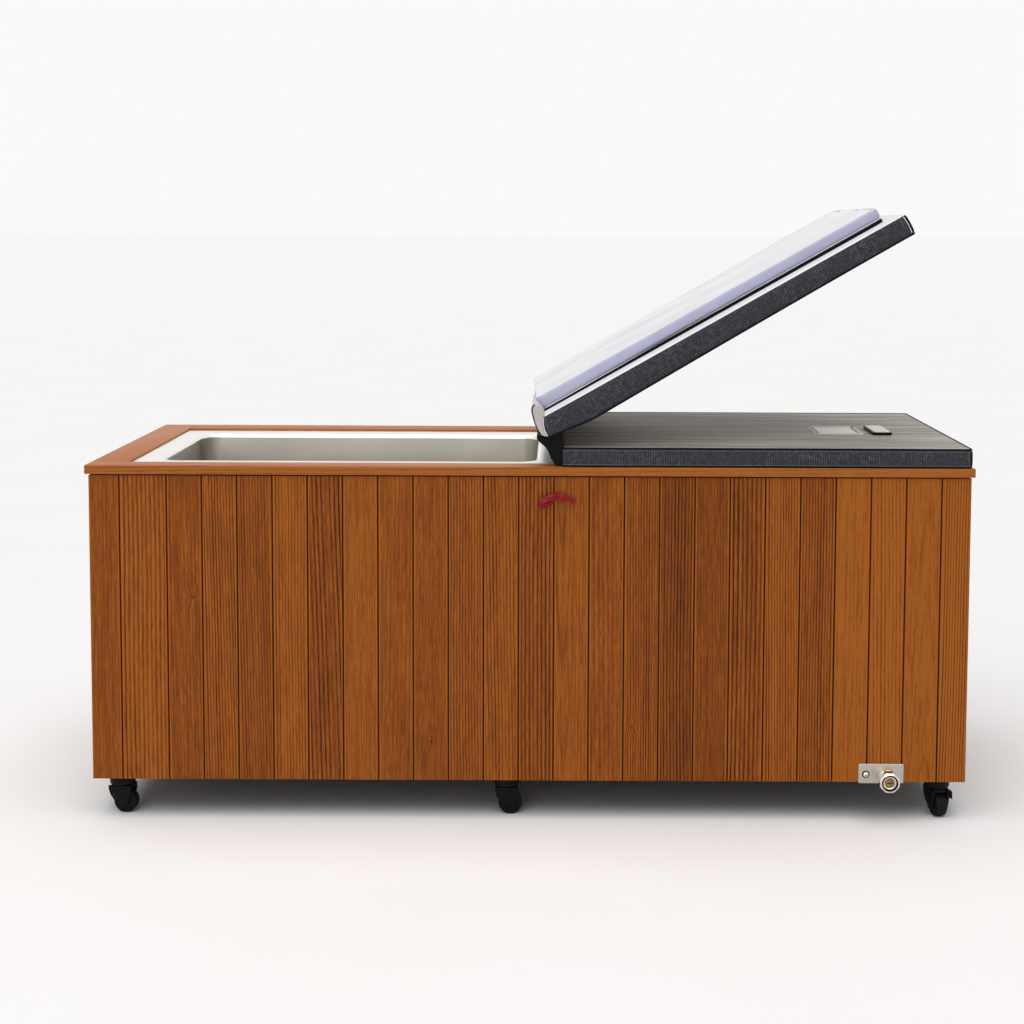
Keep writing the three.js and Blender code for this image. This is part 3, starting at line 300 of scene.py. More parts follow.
def tongued_board(bm, left, right, low, high, seed, warmth):
    """One board, its face at Y = 0: the section with its tongue and groove, pushed up to its length."""
    luck = random.Random(seed)
    left += SEAM / 2
    right -= SEAM / 2
    groove = left + TONGUE + SEAM
    section = [
        (left + ARRIS, 0), (left + ARRIS_HIGHLIGHT, 0), (right - ARRIS_HIGHLIGHT, 0), (right - ARRIS, 0), (right, ARRIS),
        (right, TONGUE_FROM), (right + TONGUE, TONGUE_FROM), (right + TONGUE, TONGUE_TO), (right, TONGUE_TO),
        (right, BOARD_THICK), (left, BOARD_THICK), (left, TONGUE_TO), (groove, TONGUE_TO),
        (groove, TONGUE_FROM), (left, TONGUE_FROM), (left, ARRIS)]
    foot = [bm.verts.new((x, y, low)) for x, y in section]
    head = push(bm, [bm.faces.new(foot)], (0, 0, high - low))
    # A few boards are cut over the heart and show arches; the rest, cut beside it, show straight lines,
    # bold in some and faint in others
    cut = luck.random()
    side = luck.choice((-1, 1))
    aside = luck.uniform(-0.02, 0.02) if cut < 0.07 else side * luck.uniform(0.2, 0.5)
    figure = luck.uniform(0.65, 1.0) if cut > 0.45 else luck.uniform(0.15, 0.35)
    heart = Vector(((left + right) / 2 + aside, luck.uniform(0.02, 0.05), (low + high) / 2))
    close = luck.uniform(0.8, 1.4)
    lay_grain(bm, foot + head, heart, Vector((close, 0, luck.uniform(-0.015, 0.015))),
              Vector((0, close, side * luck.uniform(0.03, 0.06))), Vector((0, 0, 1)),
              luck.uniform(0.39, 0.57) + warmth, figure, far=luck.uniform(-40, 40))
    # Painted shade darkens the groove and the tongue, and a painted highlight pales the face's edges, more on
    # the left
    look = bm.verts.layers.float_vector["board"]
    for vert in foot + head:
        if vert.co.y > IN_SEAM:
            vert[look] = (SEAM_SHADE, figure, 0)
        elif vert.co.x < left + ON_ARRIS:
            vert[look] = vert[look] + Vector((ARRIS_HIGHLIGHT_LEFT, 0, 0))
        elif vert.co.x > right - ON_ARRIS:
            vert[look] = vert[look] + Vector((ARRIS_HIGHLIGHT_RIGHT, 0, 0))


def board_edges(first_edges, length, least):
    """Board edges along a side, from its left end: a few odd boards, then even ones, and a last board that
    is wider than the least width."""
    edges = list(first_edges)
    while edges[-1] + BOARD_PITCH < length - least:
        edges.append(edges[-1] + BOARD_PITCH)
    return edges + [length]


def clad(node, edges, place, first_seed, opening=None, warmer=0.0):
    """A run of boards for one side, put in its place, with an opening cut through where one is given. They
    stop short of the rim by a shadow gap. Right of the middle they are darker, and at the right end
    warmer."""
    low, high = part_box(node)
    bm = timber()
    for number, (left, right) in enumerate(zip(edges, edges[1:])):
        share = left / edges[-1]
        warmth = warmer * (share ** 4 - math.exp(-((share - 0.66) / 0.1) ** 2))
        tongued_board(bm, left, right, low.z, high.z - SHADOW_GAP, first_seed + number, warmth)
    # The last tongue is planed off flush with the end
    bmesh.ops.holes_fill(bm, edges=slice_at(bm, (edges[-1], 0, 0), (1, 0, 0), clear_outer=True))
    # The outer edges of the first and last boards lie in no seam, so they get no painted shade
    look = bm.verts.layers.float_vector["board"]
    for vert in bm.verts:
        if vert.co.y > IN_SEAM and not 2 * SEAM < vert.co.x < edges[-1] - 2 * SEAM:
            vert[look] = (0.5, 0.3, 0)
    if opening:
        (x0, x1), (z0, z1) = opening
        for spot, normal in (((x0, 0, 0), (1, 0, 0)), ((x1, 0, 0), (1, 0, 0)),
                             ((0, 0, z0), (0, 0, 1)), ((0, 0, z1), (0, 0, 1))):
            slice_at(bm, spot, normal)
        middles = [(face, face.calc_center_median()) for face in bm.faces]
        gone = [face for face, middle in middles if x0 < middle.x < x1 and z0 < middle.z < z1]
        bmesh.ops.delete(bm, geom=gone, context="FACES")
        bmesh.ops.holes_fill(bm, edges=[edge for edge in bm.edges if edge.is_boundary])
    bmesh.ops.recalc_face_normals(bm, faces=bm.faces)
    bmesh.ops.transform(bm, matrix=place, verts=bm.verts)
    piece(node + "_boards", bm, cedar, "cabinet", smooth=20, stands_for=node)


front_low, front_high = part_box("front_cladding")
back_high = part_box("back_cladding")[1]
left_low, left_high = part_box("left_cladding")
right_low, right_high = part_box("right_cladding")
side_edges = board_edges((0, FIRST_BOARD, FIRST_BOARD + SECOND_BOARD), front_high.x - front_low.x, 0.04)
end_edges = board_edges((0, BOARD_PITCH * 0.68), left_high.y - left_low.y, 0.02)
clad("front_cladding", side_edges, Matrix.Translation((front_low.x, front_low.y, 0)), 100, warmer=0.14)
clad("back_cladding", side_edges,
     Matrix.Translation((back_high.x, back_high.y, 0)) @ Matrix.Rotation(math.pi, 4, "Z"), 200)
clad("left_cladding", end_edges,
     Matrix.Translation((left_low.x, left_high.y, 0)) @ Matrix.Rotation(-math.pi / 2, 4, "Z"), 300)
VENT_HALF = 0.095
vent_low, vent_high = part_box("vent_grille")
vent_middle = (vent_low + vent_high) / 2
clad("right_cladding", end_edges,
     Matrix.Translation((right_high.x, right_low.y, 0)) @ Matrix.Rotation(math.pi / 2, 4, "Z"), 400,
     opening=((vent_middle.y - VENT_HALF - right_low.y, vent_middle.y + VENT_HALF - right_low.y),
              (vent_middle.z - VENT_HALF, vent_middle.z + VENT_HALF)))


# Rim boards
# Four flat cedar boards, 20 mm thick, lie on top of the cladding with their outer edges just proud of
# it. The front one runs through, the end boards run from it to the back edge, and the back one lies
# between them, all with softened arrises.
PLANK_ARRIS = 0.0016


def plank(node, along, heart, tone, figure):
    """A planed board that fills a node's box, with its arrises rounded and its grain along its length."""
    low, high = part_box(node)
    bm = timber()
    cube = bmesh.ops.create_cube(bm, size=1)["verts"]
    bmesh.ops.scale(bm, vec=high - low, verts=cube)
    bmesh.ops.translate(bm, vec=(low + high) / 2, verts=cube)
    bmesh.ops.bevel(bm, geom=bm.edges[:], offset=PLANK_ARRIS, segments=3, profile=0.5, affect="EDGES",
                    material=-1)
    deep = Vector((0.0, 0.0, -1.0)) + along * 0.01
    across = along.cross(Vector((0, 0, 1)))
    lay_grain(bm, bm.verts, Vector(heart), across, deep, along, tone, figure)
    piece(node + "_board", bm, rubbed, "cabinet", smooth=60, stands_for=node)


# The same cedar, rubbed to a gloss that shows along the flat of the rim
rubbed = cedar.copy()
rubbed.name = "rubbed red cedar"
finish_surface(rubbed, Specular_IOR_Level=0.24)
plank("rim_front", Vector((1, 0, 0)), (3.1, -0.30, 0.64), 0.62, 0.3)
plank("rim_back", Vector((1, 0, 0)), (9.2, 0.67, 0.75), 0.62, 0.3)
plank("rim_left", Vector((0, 1, 0)), (-1.22, 4.4, 0.73), 0.8, 0.12)
plank("rim_right", Vector((0, 1, 0)), (0.71, 7.3, 0.76), 0.7, 0.12)


# Base, bulkhead and deck
# Sheets of birch plywood close the cabinet from below, part the basin from the equipment bay and cover
# that bay under the lid. They are screwed to the frame, and the lowest one is painted near black as
# shade, to deepen the shadow under the tub.
def dress(material, *names):
    """Gives CAD nodes a material in place of the plain one they came with."""
    for name in names:
        nodes[name].material_slots[0].material = material


# Rotary-cut birch: broad pale bands that wander along the sheet, with short dark fibres
BARE_BIRCH = [(0.2, "#cfae7c"), (0.5, "#b8935f"), (0.62, "#a67f4d"), (0.85, "#8f6a3c")]
# The dark birch of the base panel is painted shade for the floor under the tub
SHADE_DARK_BIRCH = [(0.3, "#3a2412"), (0.7, "#1e1309")]
for name, stops, bump, sheets in (
        ("birch plywood", BARE_BIRCH, (0.2, 0.0005), ("bay_bulkhead", "equipment_deck")),
        ("plywood darkened as painted shade", SHADE_DARK_BIRCH, None, ("base_panel",))):
    plywood = new_material(name, Roughness=0.7)
    place = add_node(plywood, "TexCoord", {}).node.outputs["Object"]
    sheet_run = add_node(plywood, "Mapping", {"Vector": place, "Scale": (3, 45, 160)})
    bands = add_node(plywood, "TexNoise", {
        "Vector": sheet_run, "Scale": 1.0, "Detail": 4.0, "Distortion": 0.6})
    paint(plywood, bands, stops, bump=bump)
    dress(plywood, *sheets)

# Inner frame
# Square steel tube, welded and dipped in grey primer, carries the cladding and the basin's flange.
# The primer dries with a faint orange peel.
primer = new_material("primed steel tube", Roughness=0.55, Metallic=0.0)
cloud_surface(primer, 9, 4.0, [(0.3, "#4b4e52"), (0.7, "#63666a")], bump=(0.2, 0.0004), grain=(400, 2.0))
dress(primer, "inner_frame")


# Basin
# A tub of 2 mm stainless sheet, folded and welded, hangs by its flange from the frame. The edge rolls
# over into the well, the upright corners are round, and the floor turns up into the walls.
def rounded_outline(bm, low, high, corner, height, segments=8):
    """A flat outline with round corners, as a ring of edges."""
    middle = Vector(((low[0] + high[0]) / 2, (low[1] + high[1]) / 2, height))
    grid = bmesh.ops.create_grid(bm, x_segments=1, y_segments=1, size=0.5)["verts"]
    bmesh.ops.scale(bm, vec=(high[0] - low[0], high[1] - low[1], 1), verts=grid)
    bmesh.ops.translate(bm, vec=middle, verts=grid)
    rounded = bmesh.ops.bevel(bm, geom=grid, offset=corner, segments=segments, profile=0.5,
                              affect="VERTICES", material=-1)
    face = rounded["verts"][0].link_faces[0]
    ring = face.edges[:]
    bmesh.ops.delete(bm, geom=[face], context="FACES_ONLY")
    return ring


SHEET = 0.002
FLANGE_END = 0.0568
FLANGE_FRONT = 0.0608
FLANGE_BACK = 0.0848
FLANGE_CORNER = 0.006
WELL_CORNER = 0.048
FLOOR_ROUND = 0.040
ROLL = 0.009
basin_low, basin_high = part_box("steel_basin")
well_low = Vector((basin_low.x + FLANGE_END, basin_low.y + FLANGE_FRONT))
well_high = Vector((basin_high.x - FLANGE_END, basin_high.y - FLANGE_BACK))
flange_top = basin_high.z
well_floor = basin_low.z + SHEET


def well_outline(bm, out, corner, height):
    """The well's outline at one height, grown outwards by a given amount."""
    grow = Vector((out, out))
    return rounded_outline(bm, well_low - grow, well_high + grow, corner, height)


bm = bmesh.new()
rings = [rounded_outline(bm, basin_low, basin_high, FLANGE_CORNER, flange_top)]
for step in range(6, -1, -1):
    turn = math.radians(15 * step)
    out = ROLL - ROLL * math.cos(turn)
    rings.append(well_outline(bm, out, WELL_CORNER + out, flange_top - ROLL + ROLL * math.sin(turn)))
for step in range(6, -1, -1):
    turn = math.radians(15 * step)
    inward = FLOOR_ROUND - FLOOR_ROUND * math.sin(turn)
    rise = FLOOR_ROUND - FLOOR_ROUND * math.cos(turn)
    rings.append(well_outline(bm, -inward, WELL_CORNER - inward, well_floor + rise))
for upper, lower in zip(rings, rings[1:]):
    bmesh.ops.bridge_loops(bm, edges=upper + lower)
bmesh.ops.edgenet_fill(bm, edges=rings[-1])
bmesh.ops.recalc_face_normals(bm, faces=bm.faces)
if sum(face.normal.z * face.calc_area() for face in bm.faces) < 0:
    bmesh.ops.reverse_faces(bm, faces=bm.faces)
bmesh.ops.solidify(bm, geom=bm.faces[:], thickness=SHEET)

# Satin stainless steel: a rolled sheet whose fine scratches all run one way, along the walls. The
# scratches are drawn 3 mm apart so that they show.
stainless = new_material("satin stainless steel", Metallic=1.0)
place = add_node(stainless, "TexCoord", {}).node.outputs["Object"]
scratch_run = add_node(stainless, "Mapping", {"Vector": place, "Scale": (4, 4, 350)})
scratches = add_node(stainless, "TexNoise", {"Vector": scratch_run, "Scale": 1.0, "Detail": 3.0})
smear = add_node(stainless, "TexNoise", {"Vector": place, "Scale": 5.0, "Detail": 3.0})
paint(stainless, smear, [(0.3, "#b4aea5"), (0.7, "#c2bdb4")], bump=(0.06, 0.0003), height=scratches)
finish_surface(stainless, Roughness=add_node(stainless, "MapRange", {
    "Value": scratches, "To Min": 0.24, "To Max": 0.42}))
# The flange and the rolled lip are smoother than the walls, and their paler colour is a painted highlight
polished = new_material("polished stainless steel, painted highlight", Metallic=1.0)
cloud_surface(polished, 7.0, 4.0, [(0.3, "#eae6e0"), (0.7, "#f5f2ee")], rough=(0.16, 0.3))
for face in bm.faces:
    face.material_index = 1 if face.calc_center_median().z > flange_top - ROLL - SHEET else 0
basin = piece("basin_shell", bm, stainless, "cabinet", smooth=50)
basin.data.materials.append(polished)
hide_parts("steel_basin")

# Strainer and water lines
# A chromed strainer closes the hole in the basin's floor, and two black rubber hoses with wall fittings
# carry the water to the pump and back. They are clamped out of sight.
chrome = new_material("polished chrome", Metallic=1.0)
cloud_surface(chrome, 120, 3.0, [(0.3, "#d8d3c9"), (0.7, "#e6e2da")], rough=(0.08, 0.24))
dress(chrome, "basin_strainer")
rubber = new_material("extruded rubber hose", Roughness=0.6)
cloud_surface(rubber, 30, 4.0, [(0.3, "#2b2d2f"), (0.7, "#44474a")])
dress(rubber, "suction_line", "return_line", "drain_line")

# Foam and equipment
# Poured polyurethane foam wraps the basin. In the bay behind the bulkhead stand the pump, the filter
# and the chiller, with its fan behind the moulded grille in the right end.
foam = new_material("poured polyurethane foam", Roughness=0.95)
place = add_node(foam, "TexCoord", {}).node.outputs["Object"]
cells = add_node(foam, "TexVoronoi", {"Vector": place, "Scale": 260})
paint(foam, cells, [(0.0, "#bfb48e"), (0.6, "#dcd4b6")], bump=(0.5, 0.002))
dress(foam, "foam_shell")

# Moulded nylon, spark-eroded: black, with a fine even grit of half a millimetre
nylon = new_material("moulded black nylon", Specular_IOR_Level=0.12)
cloud_surface(nylon, 60, 4.0, [(0.35, "#050505"), (0.75, "#0e0e0e")], rough=(0.36, 0.58),
              bump=(0.2, 0.0002), grain=(2000, 1.0))
dress(nylon, "circulation_pump", "condenser_fan", "vent_grille", "cable_gland")

# Moulded ABS in two colours, with a fine satin grain
grey_abs = new_material("grey ABS", Roughness=0.4)
white_abs = new_material("white ABS", Roughness=0.4)
for plastic, dark, pale in ((grey_abs, "#84868a", "#929498"), (white_abs, "#ebe6df", "#f4f0ea")):
    cloud_surface(plastic, 14, 3.0, [(0.3, dark), (0.7, pale)], bump=(0.15, 0.0002), grain=(900, 2.0))
dress(grey_abs, "chiller_case")
dress(white_abs, "filter_canister")


# Drain
# Low on the front, a satin steel plate with one slotted screw carries a chromed tap body. An eight-sided
# nut closes it, and a brass plug with a key slot sits in its mouth.
def turned(bm, profile, place, segments=48):
    """Spins a list of (radius, height) points about Z, then puts the turning in its place."""
    points = [bm.verts.new((radius, 0, height)) for radius, height in profile]
    edges = [bm.edges.new(pair) for pair in zip(points, points[1:])]
    if profile[0][0] > 0 and profile[-1][0] > 0:
        edges.append(bm.edges.new((points[-1], points[0])))
    spun = bmesh.ops.spin(bm, geom=points + edges, axis=(0, 0, 1), cent=(0, 0, 0), angle=2 * math.pi,
                          steps=segments, use_merge=True)
    mine = set(points) | {part for part in spun["geom_last"] if isinstance(part, bmesh.types.BMVert)}
    reach = set()
    waiting = list(mine)
    while waiting:
        vert = waiting.pop()
        if vert not in reach:
            reach.add(vert)
            waiting += [edge.other_vert(vert) for edge in vert.link_edges]
    bmesh.ops.remove_doubles(bm, verts=list(reach), dist=1e-6)
    reach = [vert for vert in reach if vert.is_valid]
    bmesh.ops.transform(bm, matrix=place, verts=reach)
    bmesh.ops.recalc_face_normals(bm, faces=list({face for vert in reach for face in vert.link_faces}))
    return reach


def rounded_block(bm, low, high, corner, edge, segments=4):
    """A block with round upright corners and softened edges."""
    ring = rounded_outline(bm, low, high, corner, low[2], segments=6)
    base = bmesh.ops.edgenet_fill(bm, edges=ring)["faces"]
    top = push(bm, base, (0, 0, high[2] - low[2]))
    faces = {face for vert in top for face in vert.link_faces} | set(base)
    bmesh.ops.recalc_face_normals(bm, faces=list(faces))
    lines = {line for face in faces for line in face.edges}
    sharp = [line for line in lines if line.is_manifold and line.calc_face_angle() > 1]
    bmesh.ops.bevel(bm, geom=sharp, offset=edge, segments=segments, profile=0.5, affect="EDGES", material=-1)


plate_low, plate_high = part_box("drain_plate")
collar_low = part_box("drain_collar")[0]
drain_axis = Vector(joints["drain_collar_turn"]["pos_m"])
face_y = front_low.y
outwards = Matrix.Rotation(math.pi / 2, 4, "X")


def on_drain(y):
    """Places a turning so that its axis is the drain's and its zero height lies at the given depth."""
    return Matrix.Translation((drain_axis.x, y, drain_axis.z)) @ outwards


PLATE_THICK = 0.003
PLATE_CORNER = 0.003
PLATE_EDGE = 0.0011
PLATE_OFF = 0.0003
bm = bmesh.new()
rounded_block(bm, (plate_low.x, plate_low.z, 0), (plate_high.x, plate_high.z, PLATE_THICK),
              PLATE_CORNER, PLATE_EDGE)
bmesh.ops.transform(bm, matrix=Matrix.Translation((0, face_y - PLATE_OFF, 0)) @ outwards, verts=bm.verts)
piece("drain_plate_pressed", bm, stainless, "cabinet", smooth=40, stands_for="drain_plate")
SCREW_IN = 0.017
SCREW_DOWN = 0.0015
SCREW_OFF = 0.0028
SCREW_TURN = 0.35
SLOT_HALF = 0.0009
SLOT_DEEP = 0.002
on_screw = Matrix.Translation((plate_low.x + SCREW_IN, face_y - SCREW_OFF,
                               (plate_low.z + plate_high.z) / 2 - SCREW_DOWN)) @ outwards
bm = bmesh.new()
turned(bm, [(0, 0), (0.0061, 0), (0.0061, 0.003), (0.0054, 0.0041), (0, 0.0046)], Matrix.Identity(4), 32)
for side in (-SLOT_HALF, SLOT_HALF):
    slice_at(bm, (0, side, 0), (0, 1, 0))
slot = [face for face in bm.faces
        if face.normal.z > 0.5 and abs(face.calc_center_median().y) < SLOT_HALF]
push(bm, slot, (0, 0, -SLOT_DEEP))
bmesh.ops.recalc_face_normals(bm, faces=bm.faces)
bmesh.ops.transform(bm, matrix=on_screw @ Matrix.Rotation(SCREW_TURN, 4, "Z"), verts=bm.verts)
piece("drain_screw", bm, chrome, "cabinet", smooth=40)
bm = bmesh.new()
turned(bm, [(0.0062, 0), (0.0086, 0), (0.0086, 0.0008), (0.0082, 0.0012), (0.0062, 0.0012)], on_screw, 32)
piece("drain_screw_washer", bm, nylon, "cabinet")

BODY_OFF = 0.0036
NUT_LONG = 0.0264
NUT_FLAT = 0.022
bm = bmesh.new()
body_out = face_y - BODY_OFF
reach = body_out - collar_low.y
turned(bm, [(0, -0.058), (0.015, -0.058), (0.015, 0), (0.0215, 0), (0.022, 0.0006), (0.022, reach - 0.0275),
            (0.0215, reach - 0.027), (0.016, reach - 0.027), (0.016, reach - 0.0036), (0.0155, reach - 0.003),
            (0.0122, reach - 0.003), (0.0114, reach - 0.0036), (0.0114, reach - 0.022), (0, reach - 0.022)],
       on_drain(body_out))
piece("drain_tap_body", bm, chrome, "cabinet", stands_for="drain_body")

bm = bmesh.new()
nut_back = reach - NUT_LONG
turned(bm, [(0.0164, nut_back), (NUT_FLAT - 0.001, nut_back), (NUT_FLAT + 0.0014, nut_back + 0.003),
            (NUT_FLAT + 0.0014, reach - 0.004), (NUT_FLAT - 0.0025, reach - 0.0004),
            (NUT_FLAT - 0.003, reach), (0.0182, reach), (0.0178, reach - 0.0004), (0.0164, reach - 0.002)],
       Matrix.Identity(4), 64)
for side in range(8):
    turn = side * math.pi / 4
    normal = Vector((math.cos(turn), math.sin(turn), 0))
    bmesh.ops.holes_fill(bm, edges=slice_at(bm, normal * NUT_FLAT, normal, clear_outer=True))
bmesh.ops.transform(bm, matrix=on_drain(body_out), verts=bm.verts)
bmesh.ops.recalc_face_normals(bm, faces=bm.faces)
piece("drain_nut", bm, chrome, "drain_ring", smooth=25, stands_for="drain_collar")

bm = bmesh.new()
turned(bm, [(0.0148, reach - 0.0028), (0.0148, reach - 0.0002), (0.0153, reach + 0.0004),
            (0.0182, reach + 0.0004), (0.0186, reach - 0.0002), (0.0186, reach - 0.0028)], on_drain(body_out))
piece("drain_gasket", bm, nylon, "drain_ring")

# Cast brass, left rough: dull gold with brown in the pores of the casting, about 1 mm wide
brass = new_material("cast brass", Metallic=1.0)
cloud_surface(brass, 700, 3.0, [(0.3, "#4e3a20"), (0.5, "#8f7448"), (0.7, "#c2a671")], rough=(0.6, 0.3),
              bump=(0.6, 0.0008))
dress(brass, "drain_plug")


# Ribbon
# A short red satin ribbon, tied in a crumpled bow and pinned to the cladding under the rim. It has one
# large loop, a long tail, a short one and a small knot.
def smooth_path(points, share):
    """A point on the smooth line through a few points, at a share of the way along."""
    last = len(points) - 1
    at = min(int(share * last), last - 1)
    t = share * last - at
    before = points[max(at - 1, 0)]
    after = points[min(at + 2, last)]
    a, b = points[at], points[at + 1]
    bend = (b - before) * (t - 2 * t * t + t ** 3) / 2 + (after - a) * (t ** 3 - t * t) / 2
    return a.lerp(b, 3 * t * t - 2 * t ** 3) + bend


RIBBON_WIDE = 0.013
RIBBON_THICK = 0.0004
CRUMPLE = 0.0024


def ribbon_strip(bm, points, width, twist):
    """A strip of ribbon along a line, turning about it as it goes, and crumpled."""
    strip = bmesh.ops.create_grid(bm, x_segments=48, y_segments=6, size=0.5)["verts"]
    for vert in strip:
        share, side = vert.co.x + 0.5, vert.co.y
        spot = smooth_path(points, share)
        ahead = smooth_path(points, min(share + 0.01, 1)) - smooth_path(points, max(share - 0.01, 0))
        flat = ahead.cross(Vector((0, 1, 0))).normalized()
        turn = Matrix.Rotation(twist[0] + (twist[1] - twist[0]) * share, 3, ahead.normalized())
        crumple = noise.noise(Vector((share * 9, side * 2.5, width * 900))) * CRUMPLE
        vert.co = spot + turn @ flat * side * width + Vector((0, crumple, crumple * 0.6))


ribbon_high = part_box("ribbon")[1]
knot = Vector((0.0595, front_low.y - 0.004, ribbon_high.z - 0.009))
loop = [knot + Vector(step) for step in (
    (0, 0, 0), (-0.012, -0.004, -0.0015), (-0.024, -0.007, -0.0065), (-0.034, -0.008, -0.012),
    (-0.0335, -0.006, -0.020), (-0.026, -0.003, -0.0215), (-0.016, -0.001, -0.017),
    (-0.006, -0.001, -0.009), (0, -0.001, -0.005))]
tail = [knot + Vector(step) for step in (
    (0, -0.001, 0.002), (0.008, -0.004, 0.003), (0.016, -0.005, 0), (0.026, -0.004, -0.005),
    (0.036, -0.003, -0.010), (0.0425, -0.002, -0.014))]
stub = [knot + Vector(step) for step in (
    (0.001, -0.004, 0.001), (0.006, -0.007, -0.003), (0.011, -0.007, -0.008), (0.017, -0.006, -0.011))]
tie = [knot + Vector((0.004 * math.sin(turn), -0.0055 + 0.003 * math.cos(turn), 0.006 - 0.012 * step / 6))
       for step, turn in enumerate(i * math.pi / 2 for i in range(7))]
bm = bmesh.new()
ribbon_strip(bm, loop, RIBBON_WIDE, (0.15, 0.9))
ribbon_strip(bm, tail, RIBBON_WIDE * 0.85, (-0.6, 0.3))
ribbon_strip(bm, stub, RIBBON_WIDE * 0.7, (0.4, -0.3))
ribbon_strip(bm, tie, RIBBON_WIDE * 0.7, (0.0, 0.4))
# Woven satin: threads too fine to see, so the eye gets a soft gloss and darker folds
satin = new_material("red satin ribbon", Roughness=0.42, Specular_IOR_Level=0.25)
cloud_surface(satin, 900, 2.0, [(0.3, "#560208"), (0.5, "#84060e"), (0.7, "#b4111e")], bump=(0.3, 0.0003))
ribbon = piece("ribbon_bow", bm, satin, "cabinet", smooth=180)
thick = ribbon.modifiers.new("woven thickness", "SOLIDIFY")
thick.thickness = RIBBON_THICK
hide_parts("ribbon")


# Lower leaf of the lid
# The right half of the lid lies on the rim over the equipment bay: a stiff foam board sewn into charcoal
# vinyl, streaked on its faces and ribbed round its sides, with black piping along its edges.
def padded_block(low, high, corner, edge, crown, step=0.025):
    """A padded panel: a meshed sheet with round corners, thickened, with its edges rolled round and its
    sides swollen a little. Each point keeps its place in the flat panel, so that a weave stays with it."""
    bm = bmesh.new()
    bm.verts.layers.float_vector.new("cut")
    size = high - low
    bmesh.ops.create_grid(bm, x_segments=round(size.x / step), y_segments=round(size.y / step), size=0.5)
    bmesh.ops.scale(bm, vec=(size.x, size.y, 1), verts=bm.verts)
    bmesh.ops.translate(bm, vec=((low.x + high.x) / 2, (low.y + high.y) / 2, low.z), verts=bm.verts)
    corners = [vert for vert in bm.verts if len(vert.link_edges) == 2]
    bmesh.ops.bevel(bm, geom=corners, offset=corner, segments=4, profile=0.5, affect="VERTICES", material=-1)
    push(bm, bm.faces[:], (0, 0, size.z))
    bmesh.ops.recalc_face_normals(bm, faces=bm.faces)
    border = [line for line in bm.edges if line.is_manifold and line.calc_face_angle() > 1]
    bmesh.ops.bevel(bm, geom=border, offset=edge, segments=4, profile=0.5, affect="EDGES", material=-1)
    for share in (0.3, 0.5, 0.7):
        slice_at(bm, low + size * share, (0, 0, 1))
    bm.normal_update()
    cut = bm.verts.layers.float_vector["cut"]
    for vert in bm.verts:
        vert[cut] = vert.co
        if abs(vert.normal.z) < 0.5:
            share = (vert.co.z - low.z) / size.z
            vert.co += Vector((vert.normal.x, vert.normal.y, 0)) * crown * 4 * share * (1 - share)
    return bm


def padded_piece(name, bm, covers, body, stands_for=None):
    """A padded piece in its covers, smoothed with a subdivision surface."""
    made = piece(name, bm, covers[0], body, smooth=180)
    for cover in covers[1:]:
        made.data.materials.append(cover)
    smooth = made.modifiers.new("smooth", "SUBSURF")
    smooth.levels = 1
    smooth.render_levels = 1
    if stands_for:
        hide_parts(stands_for)


def parted(bm):
    """Gives the faces of a padded panel one material and its sides another."""
    for face in bm.faces:
        face.material_index = 0 if abs(face.normal.z) > 0.75 else 1


def round_loop(low, high, corner, height, inset=0.0):
    """The line round a panel at one height, in from its edge, through its round corners."""
    spots = []
    for x, y, first in ((high.x - corner, high.y - corner, 0), (low.x + corner, high.y - corner, 90),
                        (low.x + corner, low.y + corner, 180), (high.x - corner, low.y + corner, 270)):
        for step in range(5):
            turn = math.radians(first + 22.5 * step)
            out = Vector((math.cos(turn), math.sin(turn), 0))
            spots.append(Vector((x, y, height)) + out * (corner - inset))
    return spots


LEAF_CORNER = 0.008
ROUND_IN = 0.293    # how far in the middle of a quarter round lies from its corner, as a share of its radius


def corner_post(low, high, crown, right, back):
    """The upright line up one corner of a panel, between its rolled edges, out over its swollen sides."""
    inset = LEAF_CORNER * ROUND_IN
    x = high.x - inset if right else low.x + inset
    y = high.y - inset if back else low.y + inset
    out = Vector((1 if right else -1, 1 if back else -1, 0)).normalized()
    spots = []
    for step in range(7):
        share = 0.1 + 0.8 * step / 6
        swollen = out * crown * 4 * share * (1 - share)
        spots.append(Vector((x, y, low.z + (high.z - low.z) * share)) + swollen)
    return spots


def piping(name, loops, posts, thick, material, body, place=Matrix.Identity(4)):
    """Sewn-in cord in one mesh: closed loops round a panel, and open runs along its other seams."""
    curve = bpy.data.curves.new(name, "CURVE")
    curve.dimensions = "3D"
    curve.bevel_depth = thick
    curve.bevel_resolution = 2
    curve.use_fill_caps = True
    for spots in loops + posts:
        line = curve.splines.new("POLY")
        line.points.add(len(spots) - 1)
        for point, spot in zip(line.points, spots):
            point.co = (*(place @ spot), 1)
        line.use_cyclic_u = spots in loops
    drawn = bpy.data.objects.new(name + "_line", curve)
    made = bpy.data.objects.new(name, bpy.data.meshes.new_from_object(drawn))
    bpy.data.objects.remove(drawn)
    made.data.materials.clear()
    made.data.materials.append(material)
    made.data.shade_smooth()
    scene.collection.objects.link(made)
    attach(made, body)
    return made


